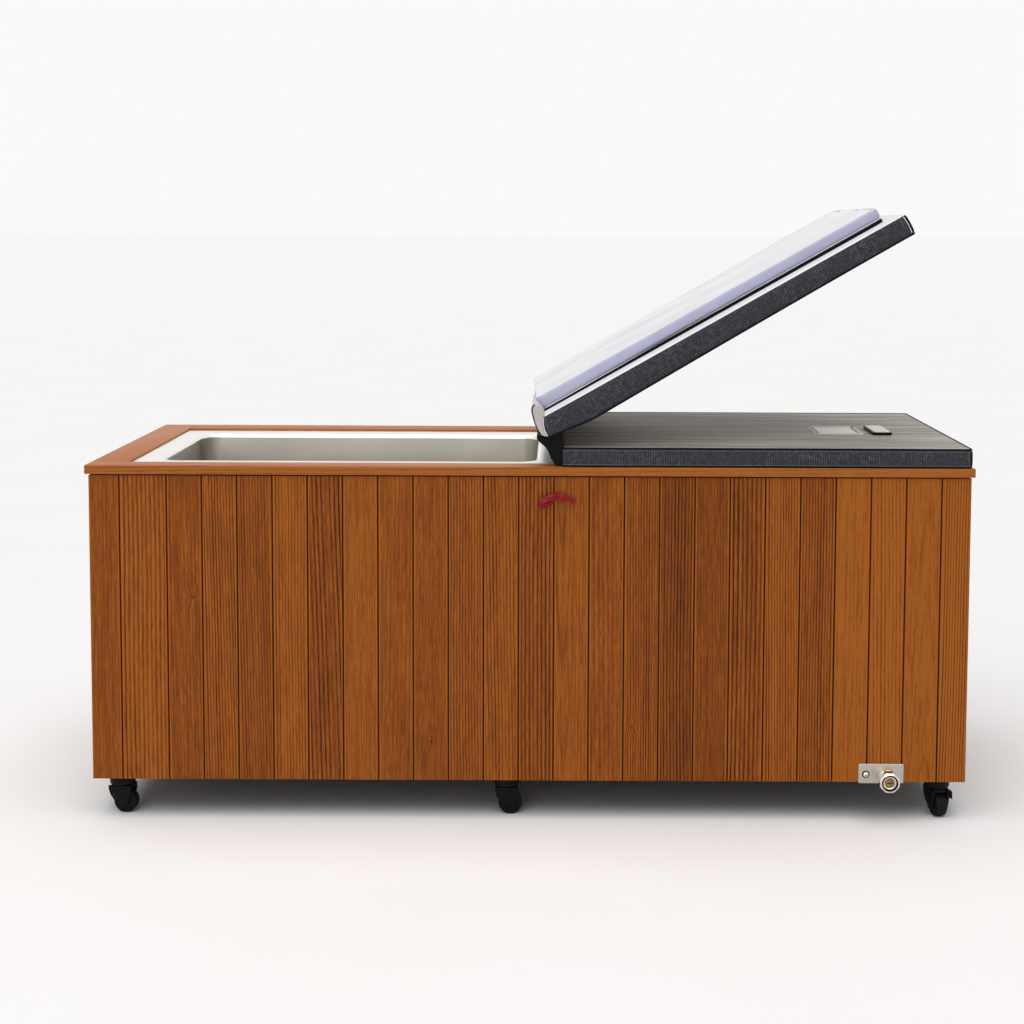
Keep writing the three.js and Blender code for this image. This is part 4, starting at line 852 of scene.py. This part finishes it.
# Calendered vinyl on the faces, with fine streaks along its length, about 4 mm wide, and a dull gloss that
# pales when it is seen along the surface. Its grey-brown, paler than the charcoal sides, is partly painted
# sheen: the pale look of the charcoal top seen along its length.
streaked_sheen_vinyl = new_material("streaked vinyl, paled as painted sheen", Specular_IOR_Level=0.3)
panel = add_node(streaked_sheen_vinyl, "Attribute", {}, attribute_name="cut").node.outputs["Vector"]
streak_run = add_node(streaked_sheen_vinyl, "Mapping", {"Vector": panel, "Scale": (5, 240, 240)})
streaks = add_node(streaked_sheen_vinyl, "TexNoise", {
    "Vector": streak_run, "Scale": 1.0, "Detail": 4.0, "Roughness": 0.6})
band_run = add_node(streaked_sheen_vinyl, "Mapping", {"Vector": panel, "Scale": (2, 26, 26)})
bands = add_node(streaked_sheen_vinyl, "TexNoise", {"Vector": band_run, "Scale": 1.0, "Detail": 2.0})
wash = add_node(streaked_sheen_vinyl, "Math", {0: bands, 1: 0.6, 2: streaks}, operation="MULTIPLY_ADD")
paint(streaked_sheen_vinyl, wash, [(0.45, "#433f39"), (0.72, "#817a71"), (0.95, "#c0b9ad")],
      bump=(0.12, 0.0004), height=streaks)
finish_surface(streaked_sheen_vinyl, Roughness=add_node(streaked_sheen_vinyl, "MapRange", {
    "Value": streaks, "To Min": 0.42, "To Max": 0.6}))

# Ribbed vinyl band round the sides: upright ribs over crosswise threads, bluish charcoal, worn smooth in
# places. The ribs are 5.6 mm apart, about twice the real ones, so that they show.
RIB = 0.0056
ribbed_vinyl = new_material("ribbed charcoal vinyl", Specular_IOR_Level=0.3)
panel = add_node(ribbed_vinyl, "Attribute", {}, attribute_name="cut").node.outputs["Vector"]
jitter = add_node(ribbed_vinyl, "TexNoise", {"Vector": panel, "Scale": 90, "Detail": 1.0})
shaken = add_node(ribbed_vinyl, "VectorMath", {0: jitter.node.outputs["Color"], 1: (0.0045,) * 3, 2: panel},
                  operation="MULTIPLY_ADD")
ribs_run = add_node(ribbed_vinyl, "VectorMath", {0: shaken, "Scale": 2 * math.pi / RIB}, operation="SCALE")
waves = add_node(ribbed_vinyl, "VectorMath", {0: ribs_run}, operation="SINE")
weave = add_node(ribbed_vinyl, "VectorMath", {0: waves, 1: (0.5, 0.5, 0.14)},
                 operation="DOT_PRODUCT").node.outputs["Value"]
patches = add_node(ribbed_vinyl, "TexNoise", {"Vector": panel, "Scale": 16, "Detail": 2.0})
worn = add_node(ribbed_vinyl, "MapRange", {
    "Value": patches, "From Min": 0.38, "From Max": 0.62, "To Min": 0.1, "To Max": 0.45})
yarn = add_node(ribbed_vinyl, "TexNoise", {"Vector": panel, "Scale": 420, "Detail": 3.0})
mottle = add_node(ribbed_vinyl, "Math", {0: weave, 1: worn, 2: yarn}, operation="MULTIPLY_ADD")
paint(ribbed_vinyl, mottle, [(0.1, "#0c0d0f"), (0.45, "#1f2126"), (0.7, "#363940"), (1.0, "#585b63")],
      bump=(0.4, 0.0008))
finish_surface(ribbed_vinyl, Roughness=add_node(ribbed_vinyl, "MapRange", {
    "Value": patches, "To Min": 0.5, "To Max": 0.66}))

# Black vinyl of the piping, and a grey cord that paints the highlight on the rolled edge as a light line
# under it
welt = new_material("black vinyl welt", Roughness=0.6, Specular_IOR_Level=0.12)
cloud_surface(welt, 220, 3.0, [(0.3, "#030303"), (0.7, "#090909")], bump=(0.3, 0.0006))
highlight_cord_vinyl = new_material("grey vinyl, painted highlight", Roughness=0.4)
cloud_surface(highlight_cord_vinyl, 160, 3.0, [(0.3, "#3c3f45"), (0.7, "#585b62")])

LEAF_ROLL = 0.005
ROLL_IN = LEAF_ROLL * ROUND_IN
LOWER_CROWN = 0.001
PIPING = 0.0021
PROUD = 0.0006
HIGHLIGHT_CORD = 0.0008
lower_low, lower_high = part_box("lid_lower_leaf")
bm = padded_block(lower_low, lower_high, LEAF_CORNER, LEAF_ROLL, LOWER_CROWN)
parted(bm)
padded_piece("lid_lower_pad", bm, (streaked_sheen_vinyl, ribbed_vinyl), "lid_lower",
             stands_for="lid_lower_leaf")
piping("lid_lower_piping",
       [round_loop(lower_low, lower_high, LEAF_CORNER, lower_high.z - ROLL_IN + PROUD, ROLL_IN - PROUD),
        round_loop(lower_low, lower_high, LEAF_CORNER, lower_low.z + PIPING, ROLL_IN)],
       [corner_post(lower_low, lower_high, LOWER_CROWN, 1, back) for back in (0, 1)],
       PIPING, welt, "lid_lower")
# A grey cord round the front band, under the top piping, along its foot and up its ends, is a painted
# highlight on the rolled edges
highlight_cord_high = lower_high.z - LEAF_ROLL - HIGHLIGHT_CORD
highlight_cord_foot = lower_low.z + LEAF_ROLL
highlight_cord_ends = [[Vector((x, lower_low.y - PROUD, z)) for z in (highlight_cord_foot, highlight_cord_high)]
             for x in (lower_low.x + LEAF_ROLL, lower_high.x - LEAF_CORNER)]
piping("lid_lower_highlight_cord",
       [round_loop(lower_low, lower_high, LEAF_CORNER, height, -PROUD) for height in (highlight_cord_high, highlight_cord_foot)],
       highlight_cord_ends, HIGHLIGHT_CORD, highlight_cord_vinyl, "lid_lower")


# Control window and pad
# A moulded frame let into the lower leaf holds a blank satin cover plate, with a pale gasket round it.
# Beside it a low black pod carries one pale push pad.
def control_part(name, node, low, high, corner, edge, material, slot, body, well=None):
    """A moulded block in place of a node, with a well of (rim, depth) sunk in its top where one is given."""
    bm = bmesh.new()
    rounded_block(bm, low, high, corner, edge)
    if well:
        rim, depth = well
        top = max(bm.faces, key=lambda face: face.calc_center_median().z)
        bmesh.ops.inset_region(bm, faces=[top], thickness=rim)
        bmesh.ops.translate(bm, verts=top.verts, vec=(0, 0, -depth))
    piece(name, bm, material, body, smooth=30, stands_for=node)


FRAME_CORNER = 0.006
GASKET = 0.0013
bezel_low, bezel_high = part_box("control_bezel")
control_part("control_frame", "control_bezel", bezel_low, bezel_high, FRAME_CORNER, 0.0012,
             white_abs, "light_plastic", "lid_lower", well=(0.010, 0.0105))
piping("control_gasket", [round_loop(bezel_low, bezel_high, FRAME_CORNER, lower_high.z + 0.0006)], [],
       GASKET, white_abs, "lid_lower")
control_part("control_cover", "control_display", *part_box("control_display"), 0.003, 0.0008,
             white_abs, "light_plastic", "lid_lower")
pod_low, pod_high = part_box("control_pod")
pod_low.z = lower_high.z + 0.0003
control_part("control_pod_base", "control_pod", pod_low, pod_high, 0.006, 0.0012,
             nylon, "black_nylon", "lid_lower", well=(0.0018, 0.0056))
control_part("control_push_pad", "pod_pad", *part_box("pod_pad"), 0.005, 0.0014,
             white_abs, "light_plastic", "pad")

# Folding leaf of the lid
# The left half of the lid is thrown back over the lower one. It has the same charcoal cover, and a white
# vinyl liner on its underside that wraps round the edge. Its hinged end leans back towards the liner.
fold = joints["lid_fold"]
pivot = Vector(fold["pos_m"])
raised = math.radians(-fold["range_deg"][0])
open_up = Matrix.Translation(pivot) @ Matrix.Rotation(math.pi - raised, 4, "Y") @ Matrix.Translation(-pivot)
LEAF_LONG = 0.936
LEAF_THICK = 0.050
END_BACK = 0.0006
END_LEAN = 0.016
LEAN_FROM = 0.06
BELLY = 0.012
BELLY_AT = 0.12
FOLD_CROWN = 0.0025
EDGE_PIPING = 0.0024
PLUG_THICK = 0.0275
SEAL_THICK = 0.009
CLEAR = 0.0003
LINER_WRAP = 0.004
plug_foot = flange_top + CLEAR
seal_foot = plug_foot + PLUG_THICK + CLEAR
leaf_foot = seal_foot + SEAL_THICK + CLEAR
fold_low = Vector((pivot.x - END_BACK - LEAF_LONG, lower_low.y, leaf_foot))
fold_high = Vector((pivot.x - END_BACK, lower_high.y, leaf_foot + LEAF_THICK))


def stuffed(spot):
    """Shapes a point of the leaf: the hinged end is drawn back at the liner's face, and the outer face
    swells into a belly not far from that end."""
    from_end = fold_high.x - spot.x
    near = min(max(1 - from_end / LEAN_FROM, 0), 1)
    up = min(max((spot.z - fold_low.z) / LEAF_THICK, 0), 1)
    rise = min(max(from_end / BELLY_AT, 0), 1)
    fall = min(max((LEAF_LONG - from_end) / (LEAF_LONG - BELLY_AT), 0), 1)
    belly = BELLY * up * rise * rise * (3 - 2 * rise) * fall ** 1.5
    return spot + Vector((-END_LEAN * near * (1 - up) ** 2.5, 0, belly))


def close_set(spots, gap=0.03):
    """Adds points along a closed line, so that it can follow a swollen panel."""
    full = []
    for spot, after in zip(spots, spots[1:] + spots[:1]):
        steps = max(1, round((after - spot).length / gap))
        full += [spot.lerp(after, step / steps) for step in range(steps)]
    return full


# Marine vinyl, white on the faces, with a soft leather grain of 2 mm and faint handling marks. The lilac on
# the plug's sides and the grey on the slack end are painted shade on the same white vinyl
liners = {}
for name, tones in (("white", ("#dfdee3", "#eae9ec", "#f3f2f4")),
                    ("painted shade lilac", ("#b0b0ca", "#bdbed6", "#c9cadf")),
                    ("grey", ("#b9b5b1", "#c8c5c1", "#d6d3d0"))):
    liner = new_material(name + " marine vinyl", Roughness=0.5, Specular_IOR_Level=0.3)
    panel = add_node(liner, "Attribute", {}, attribute_name="cut").node.outputs["Vector"]
    hide = add_node(liner, "TexVoronoi", {"Vector": panel, "Scale": 500})
    marks = add_node(liner, "TexNoise", {"Vector": panel, "Scale": 6, "Detail": 5.0})
    paint(liner, marks, list(zip((0.3, 0.55, 0.8), tones)), bump=(0.1, 0.0005), height=hide)
    liners[name] = liner
bm = padded_block(fold_low, fold_high, LEAF_CORNER, LEAF_ROLL, FOLD_CROWN)
for face in bm.faces:
    lined = face.calc_center_median().z < fold_low.z + LINER_WRAP
    face.material_index = 2 if lined else 0 if abs(face.normal.z) > 0.75 else 1
for vert in bm.verts:
    vert.co = stuffed(vert.co)
bmesh.ops.transform(bm, matrix=open_up, verts=bm.verts)
padded_piece("lid_folding_pad", bm, (streaked_sheen_vinyl, ribbed_vinyl, liners["white"]),
             "lid_folding", stands_for="lid_folding_leaf")
tips = [corner_post(fold_low, fold_high, FOLD_CROWN, 0, back) for back in (0, 1)]
edge_line = round_loop(fold_low, fold_high, LEAF_CORNER, fold_high.z - ROLL_IN + PROUD, ROLL_IN - PROUD)
piping("lid_folding_piping", [[stuffed(spot) for spot in close_set(edge_line)]],
       tips, EDGE_PIPING, welt, "lid_folding", open_up)
TIP_CORD = 0.0011
inside_tip = Vector((0.0045, -0.0016, 0))
hinge_end = [stuffed(spot) for spot in corner_post(fold_low, fold_high, FOLD_CROWN, 1, 0)]
piping("lid_folding_cord", [], [[spot + inside_tip for spot in tips[0]], hinge_end],
       TIP_CORD, liners["white"], "lid_folding", open_up)

# Seal and plug panel
# Under the folding leaf a black foam seal carries a white vinyl plug panel, which rests on the basin's
# flange when the lid is shut. The seal thins out towards the hinge. The plug's cover is piped with white
# cord, is cut a little askew at its hinged end, and wrinkles at its far end.
PLUG_ON_END = 0.0065
PLUG_ON_FRONT = 0.038
PLUG_ON_BACK = 0.074
PLUG_CORNER = 0.016
PLUG_ROLL = 0.006
PLUG_CROWN = 0.003
PLUG_SKEW = 0.018
PLUG_CORD = 0.0015
SEAL_PROUD = 0.003
SEAL_THIN = 0.0042
SEAL_EDGE = 0.002
SEAL_LEAST = 0.001
THIN_FROM = 0.30
WRINKLED = 0.22
WRINKLE = 0.006
DENT = 0.0012
plug_low = Vector((well_low.x - PLUG_ON_END, well_low.y - PLUG_ON_FRONT, plug_foot))
plug_high = Vector((well_high.x + PLUG_ON_END, well_high.y + PLUG_ON_BACK, plug_foot + PLUG_THICK))
proud = Vector((SEAL_PROUD, SEAL_PROUD, 0))


def by_hinge(spot):
    """Moves a point near the hinged end to where the seal is thin and the plug is cut askew."""
    near = min(max(1 + (spot.x - plug_high.x) / THIN_FROM, 0), 1)
    back = (spot.y - plug_low.y) / (plug_high.y - plug_low.y)
    up = min(max((spot.z - plug_low.z) / PLUG_THICK, 0), 1)
    return spot + Vector((PLUG_SKEW * back * near * near, 0, SEAL_THIN * up * near))


bm = bmesh.new()
rounded_block(bm, Vector((*plug_low.xy, seal_foot + PLUG_CORD)) - proud,
              Vector((*plug_high.xy, seal_foot + SEAL_THICK)) + proud, PLUG_CORNER + SEAL_PROUD, SEAL_EDGE)
for step in (0.2, 0.4, 0.6, 0.8, 1.0):
    slice_at(bm, (plug_high.x - THIN_FROM * step, 0, 0), (1, 0, 0))
for vert in bm.verts:
    moved = by_hinge(vert.co)
    moved.z = min(moved.z, max(vert.co.z, seal_foot + SEAL_THICK - SEAL_LEAST))
    vert.co = moved
bmesh.ops.transform(bm, matrix=open_up, verts=bm.verts)
seal = piece("lid_seal_strip", bm, welt, "lid_folding", smooth=40)
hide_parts("lid_seal")
bm = padded_block(plug_low, plug_high, PLUG_CORNER, PLUG_ROLL, PLUG_CROWN, step=0.012)
parted(bm)
# Wrinkles run slantwise across the far end's corner and die out towards the middle
for vert in bm.verts:
    if vert.normal.z < -0.75:
        near = max(0.0, 1 - (vert.co.x - plug_low.x) / WRINKLED)
        slant = vert.co.x * 0.55 + vert.co.y
        fold_wave = noise.noise(Vector((slant * 26, (vert.co.x - vert.co.y) * 4, 3.0)))
        sag = (fold_wave + 0.15) * WRINKLE * near ** 1.5
        sag += noise.noise(Vector((vert.co.x * 5, vert.co.y * 5, 8.0))) * DENT
        # Where it rests on the flange the cover is pressed flat, and only over the well can it hang down
        over_well = well_low.x < vert.co.x < well_high.x and well_low.y < vert.co.y < well_high.y
        vert.co.z += sag if over_well else max(sag, 0)
    vert.co = by_hinge(vert.co)
bmesh.ops.transform(bm, matrix=open_up, verts=bm.verts)
# Its sides take the lilac vinyl, painted shade
padded_piece("lid_plug_pad", bm, (liners["white"], liners["painted shade lilac"]), "lid_folding",
             stands_for="lid_plug")
plug_in = PLUG_ROLL * ROUND_IN
piping("lid_plug_piping",
       [[by_hinge(spot) for spot in round_loop(plug_low, plug_high, PLUG_CORNER, height, inset)]
        for height, inset in ((plug_high.z, plug_in * 0.4), (plug_low.z + plug_in, plug_in))], [],
       PLUG_CORD, liners["white"], "lid_folding", open_up)

# Slack end of the liner
# White vinyl bags out past the hinged end, from the plug's corner down to the leaf's outer face, with a
# black cord sewn along its front edge.
BAG = [(0.0005, 0.048), (0.0075, 0.042), (0.0125, 0.033), (0.0126, 0.022), (0.0109, 0.007), (0.0075, -0.007),
       (0.0027, -0.0222), (-0.0028, -0.0295), (-0.010, -0.0308), (-0.0170, -0.028), (-0.0205, -0.012),
       (-0.0200, 0.001), (-0.0080, 0.014), (-0.0040, 0.030), (-0.0030, 0.044)]
BAG_RIM = 0.005
BAG_IN = 0.003
BAG_STEP = 0.02
BAG_CORD = 0.0012
BAG_RIPPLE = 0.003
bm = bmesh.new()
bm.verts.layers.float_vector.new("cut")
end = [bm.verts.new((fold_high.x + out, fold_low.y + BAG_IN, fold_low.z + up)) for out, up in BAG]
push(bm, [bm.faces.new(end)], (0, fold_high.y - fold_low.y - 2 * BAG_IN, 0))
for step in range(1, 37):
    slice_at(bm, (0, fold_low.y + BAG_STEP * step, 0), (0, 1, 0))
bmesh.ops.recalc_face_normals(bm, faces=bm.faces)
rims = [line for line in bm.edges
        if line.calc_face_angle() > 1 and abs(line.verts[0].co.y - line.verts[1].co.y) < 1e-5]
bmesh.ops.bevel(bm, geom=rims, offset=BAG_RIM, segments=2, profile=0.5, affect="EDGES", material=-1)
cut = bm.verts.layers.float_vector["cut"]
for vert in bm.verts:
    vert[cut] = vert.co
    if vert.co.y > fold_low.y + BAG_STEP:
        vert.co.x += noise.noise(vert.co * 14) * BAG_RIPPLE
bmesh.ops.transform(bm, matrix=open_up, verts=bm.verts)
# The slack end is drawn in the grey vinyl, painted shade on the white liner
padded_piece("lid_folding_slack", bm, (liners["grey"],), "lid_folding")
bag_line = [Vector((fold_high.x + out - BAG_CORD, fold_low.y + BAG_IN * 1.5, fold_low.z + up))
            for out, up in BAG[2:9]]
piping("lid_folding_slack_piping", [], [bag_line], BAG_CORD, welt, "lid_folding", open_up)

# Hinge gusset
# A slack sleeve of black vinyl, sewn to the ends of both leaves, is the lid's hinge. With the lid folded
# back it bunches up in the throat under the raised leaf's end, and the black wedge it makes there is partly
# painted shade: it fills the throat, which lies in shadow, out along the leaf.
THROAT_OUT = 0.0295
THROAT_UP = 0.0143
TUCK = 0.0025
SLACK_TO = 0.012
FOLDS = 0.0022
CREASES = 0.0012
rim_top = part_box("rim_front")[1].z
gusset_low, gusset_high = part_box("hinge_gusset")
throat = Vector((lower_low.x - THROAT_OUT, 0, lower_high.z + THROAT_UP))
face_off = (pivot.z - fold_high.z + (throat.x - pivot.x) * math.sin(raised)
            + (pivot.z - throat.z) * math.cos(raised))


def by_throat(along, up):
    """A corner of the gusset's section, measured from the throat."""
    return (throat.x + along, throat.z + up)


def under_leaf(along, off):
    """A corner of the section under the raised leaf's outer face, along it from the throat and off it."""
    rise = face_off - off
    return by_throat(along * math.cos(raised) - rise * math.sin(raised),
                     along * math.sin(raised) + rise * math.cos(raised))


seat = lower_low.x - CLEAR
# The corners under the raised leaf carry the black sleeve out along the throat, partly as painted shade
section = [(seat, rim_top + 0.003), (seat, lower_high.z - 0.004), (seat + 0.001, lower_high.z + 0.0008),
           (seat + 0.003, lower_high.z + 0.0012), under_leaf(0.034, 0.007), under_leaf(0.036, 0.0038),
           under_leaf(0.011, 0.0016), by_throat(-0.004, 0.003), by_throat(-0.014, 0.007),
           by_throat(-0.022, 0.013), by_throat(-0.028, 0.012), by_throat(-0.0285, 0.004),
           by_throat(-0.021, -0.005), by_throat(-0.010, -0.013), by_throat(-0.001, -0.026),
           by_throat(0.004, -0.041), (throat.x + 0.009, rim_top + 0.009), (throat.x + 0.013, rim_top + 0.003)]
bm = bmesh.new()
end = bm.faces.new([bm.verts.new((x, gusset_low.y, z)) for x, z in section])
bmesh.ops.bevel(bm, geom=end.verts[:], offset=TUCK, segments=3, profile=0.5, affect="VERTICES",
                clamp_overlap=True, material=-1)
GATHER = 0.012
gusset_long = gusset_high.y - gusset_low.y
push(bm, bm.faces[:], (0, gusset_long, 0))
for step in range(1, int(gusset_long / GATHER)):
    slice_at(bm, (0, gusset_low.y + step * GATHER, 0), (0, 1, 0))
bmesh.ops.recalc_face_normals(bm, faces=bm.faces)
for vert in bm.verts:
    if vert.co.x < throat.x + SLACK_TO:
        crumple = noise.noise(vert.co * 55) * FOLDS + noise.noise(vert.co * 140) * CREASES
        vert.co += vert.normal * crumple
gusset = piece("lid_hinge_sleeve", bm, welt, None, smooth=60)
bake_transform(gusset)
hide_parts("hinge_gusset")

# Casters
# Six swivel casters of black nylon carry the cabinet, and the corner ones have a brake lever. A bowl
# under the top plate takes the fork, a riveted axle carries the wheel, and the wheel has a moulded tread.
PLATE_HALF = 0.030
PLATE_LOW = 0.0857
PLATE_HIGH = 0.0907
CROWN_LOW = 0.0575
CROWN_HIGH = 0.0655
CROWN_R = 0.026
WHEEL_R = 0.027
WHEEL_HALF = 0.0145
TRAIL = -0.009
FORK_IN = 0.0152
FORK_OUT = 0.0215
PIN_R = 0.0045
LEVER_HALF = 0.006
EAR_THICK = 0.003
lever_axis = Vector((0, -0.026, 0.0515))
upright = Matrix.Identity(4)
on_axle = Matrix.Translation((TRAIL, 0, WHEEL_R)) @ Matrix.Rotation(-math.pi / 2, 4, "X")
on_lever = Matrix.Translation(lever_axis) @ Matrix.Rotation(math.pi / 2, 4, "Y")
sideways = Matrix.Rotation(math.pi / 2, 4, "Z")
# Cast polyurethane on the wheel, black and dulled by grime
tread = new_material("cast polyurethane tread", Specular_IOR_Level=0.15)
cloud_surface(tread, 90, 4.0, [(0.35, "#060606"), (0.75, "#11100f")], rough=(0.45, 0.75))


def slotted(bm, outline, depth, edge, place):
    """A flat outline in X and Z, thickened along Y, with its edges softened."""
    start = bm.faces.new([bm.verts.new((x, 0, z)) for x, z in outline])
    far = push(bm, [start], (0, depth, 0))
    faces = list({face for vert in far for face in vert.link_faces} | {start})
    bmesh.ops.recalc_face_normals(bm, faces=faces)
    verts = list({vert for face in faces for vert in face.verts})
    bmesh.ops.transform(bm, matrix=place, verts=verts)
    edges = list({line for face in faces for line in face.edges})
    bmesh.ops.bevel(bm, geom=edges, offset=edge, segments=2, profile=0.5, affect="EDGES", material=-1)


def caster_top(bm):
    """Top plate with the turned bowl and the king pin under it."""
    rounded_block(bm, (-PLATE_HALF, -PLATE_HALF, PLATE_LOW), (PLATE_HALF, PLATE_HALF, PLATE_HIGH),
                  0.006, 0.001)
    bowl = [(0, 0.0552), (0.007, 0.0552), (0.008, 0.056), (0.008, 0.0572), (0.005, 0.0572), (0.005, 0.0658)]
    for step in range(7):
        turn = math.radians(15 * step)
        bowl.append((0.0235 + 0.0055 * math.sin(turn), 0.0658 + 0.006 - 0.006 * math.cos(turn)))
    turned(bm, bowl + [(0.029, PLATE_LOW), (0, PLATE_LOW)], upright, 40)


def caster_fork(bm, braked):
    """Round crown with two cheeks that hug the wheel, and ears for the brake lever."""
    turned(bm, [(0.0056, CROWN_LOW), (CROWN_R - 0.001, CROWN_LOW), (CROWN_R, CROWN_LOW + 0.001),
                (CROWN_R, CROWN_HIGH - 0.003), (CROWN_R - 0.0009, CROWN_HIGH - 0.0009),
                (CROWN_R - 0.003, CROWN_HIGH), (0.0056, CROWN_HIGH)], upright, 40)
    cheek = [(TRAIL - 0.017, CROWN_HIGH - 0.001), (TRAIL - 0.018, CROWN_LOW - 0.008), (TRAIL - 0.012, 0.029),
             (TRAIL - 0.009, 0.019), (TRAIL, 0.015), (TRAIL + 0.009, 0.019), (TRAIL + 0.012, 0.026),
             (0.013, 0.031), (0.022, 0.043), (0.0265, CROWN_LOW), (0.0265, CROWN_HIGH - 0.001)]
    for side in (FORK_IN, -FORK_OUT):
        slotted(bm, cheek, FORK_OUT - FORK_IN, 0.0014, Matrix.Translation((0, side, 0)))
    if braked:
        ear = [(0.0005, -0.004), (-0.0045, -0.004), (-0.007, -0.0015), (-0.007, 0.0015), (-0.0045, 0.004),
               (0.0005, 0.004)]
        for x in (-LEVER_HALF - 0.0034, LEVER_HALF + 0.0004):
            ear_place = Matrix.Translation((x + EAR_THICK, -FORK_OUT, lever_axis.z)) @ sideways
            slotted(bm, ear, EAR_THICK, 0.0005, ear_place)


def caster_rivet(bm, braked):
    """Axle with domed rivet heads, and the brake lever's pin."""
    head = [(0.004, FORK_OUT - 0.0005), (0.0052, FORK_OUT + 0.0002), (0.003, FORK_OUT + 0.0014),
            (0, FORK_OUT + 0.0018)]
    turned(bm, [(radius, -height) for radius, height in reversed(head)] + head, on_axle, 24)
    if braked:
        end = [(0.0019, LEVER_HALF + 0.0034), (0, LEVER_HALF + 0.0036)]
        turned(bm, [(radius, -height) for radius, height in reversed(end)] + end, on_lever, 16)


def caster_wheel(bm):
    """Wheel with a dished web and a tread with round shoulders."""
    side = [(PIN_R, WHEEL_HALF), (0.010, WHEEL_HALF), (0.0115, WHEEL_HALF - 0.0004),
            (0.013, WHEEL_HALF - 0.002), (0.0195, WHEEL_HALF - 0.0022), (0.0205, WHEEL_HALF - 0.001)]
    for step in range(5):
        turn = math.radians(22.5 * step)
        side.append((0.021 + 0.006 * math.sin(turn), WHEEL_HALF - 0.007 + 0.006 * math.cos(turn)))
    other = [(radius, -height) for radius, height in reversed(side)]
    turned(bm, side + other, on_axle, 56)


def caster_lever(bm):
    """Bent foot lever on a tube round its pin."""
    out, down, thick = 0.008, 0.017, 0.0034
    hook = [(0.002, thick), (-out, thick), (-out - thick, 0), (-out - thick - 0.001, -down),
            (-out - 0.001, -down), (-out, -0.001), (0.002, -0.001)]
    across = Matrix.Translation(lever_axis + Vector((LEVER_HALF, 0, 0))) @ sideways
    slotted(bm, hook, 2 * LEVER_HALF, 0.0008, across)
    tube = [(0.0023, -LEVER_HALF), (0.004, -LEVER_HALF), (0.004, LEVER_HALF), (0.0023, LEVER_HALF)]
    turned(bm, tube, on_lever, 24)


for corner in ("fl", "fm", "fr", "rl", "rm", "rr"):
    axle = joints["roll_" + corner]["axis"]
    heading = Matrix.Rotation(math.atan2(-axle[0], axle[1]), 4, "Z")
    spot = Vector(joints["swivel_" + corner]["pos_m"])
    stand = Matrix.Translation((spot.x, spot.y, 0)) @ heading
    braked = corner[1] != "m"
    parts = [("plate", caster_top, (), nylon, "black_nylon", "cabinet"),
             ("fork", caster_fork, (braked,), nylon, "black_nylon", "swivel_" + corner),
             ("wheel", caster_wheel, (), tread, "black_tread", "wheel_" + corner),
             ("rivet", caster_rivet, (braked,), nylon, "black_nylon", "swivel_" + corner)]
    if braked:
        parts.append(("brake", caster_lever, (), nylon, "black_nylon", "brake_" + corner))
    for part, shape, how, material, slot, body in parts:
        bm = bmesh.new()
        shape(bm, *how)
        bmesh.ops.transform(bm, matrix=stand, verts=bm.verts)
        made = piece(f"caster_{corner}_{part}_moulded", bm, material, body, smooth=40)
        if part != "rivet":
            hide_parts(f"caster_{corner}_{part}")
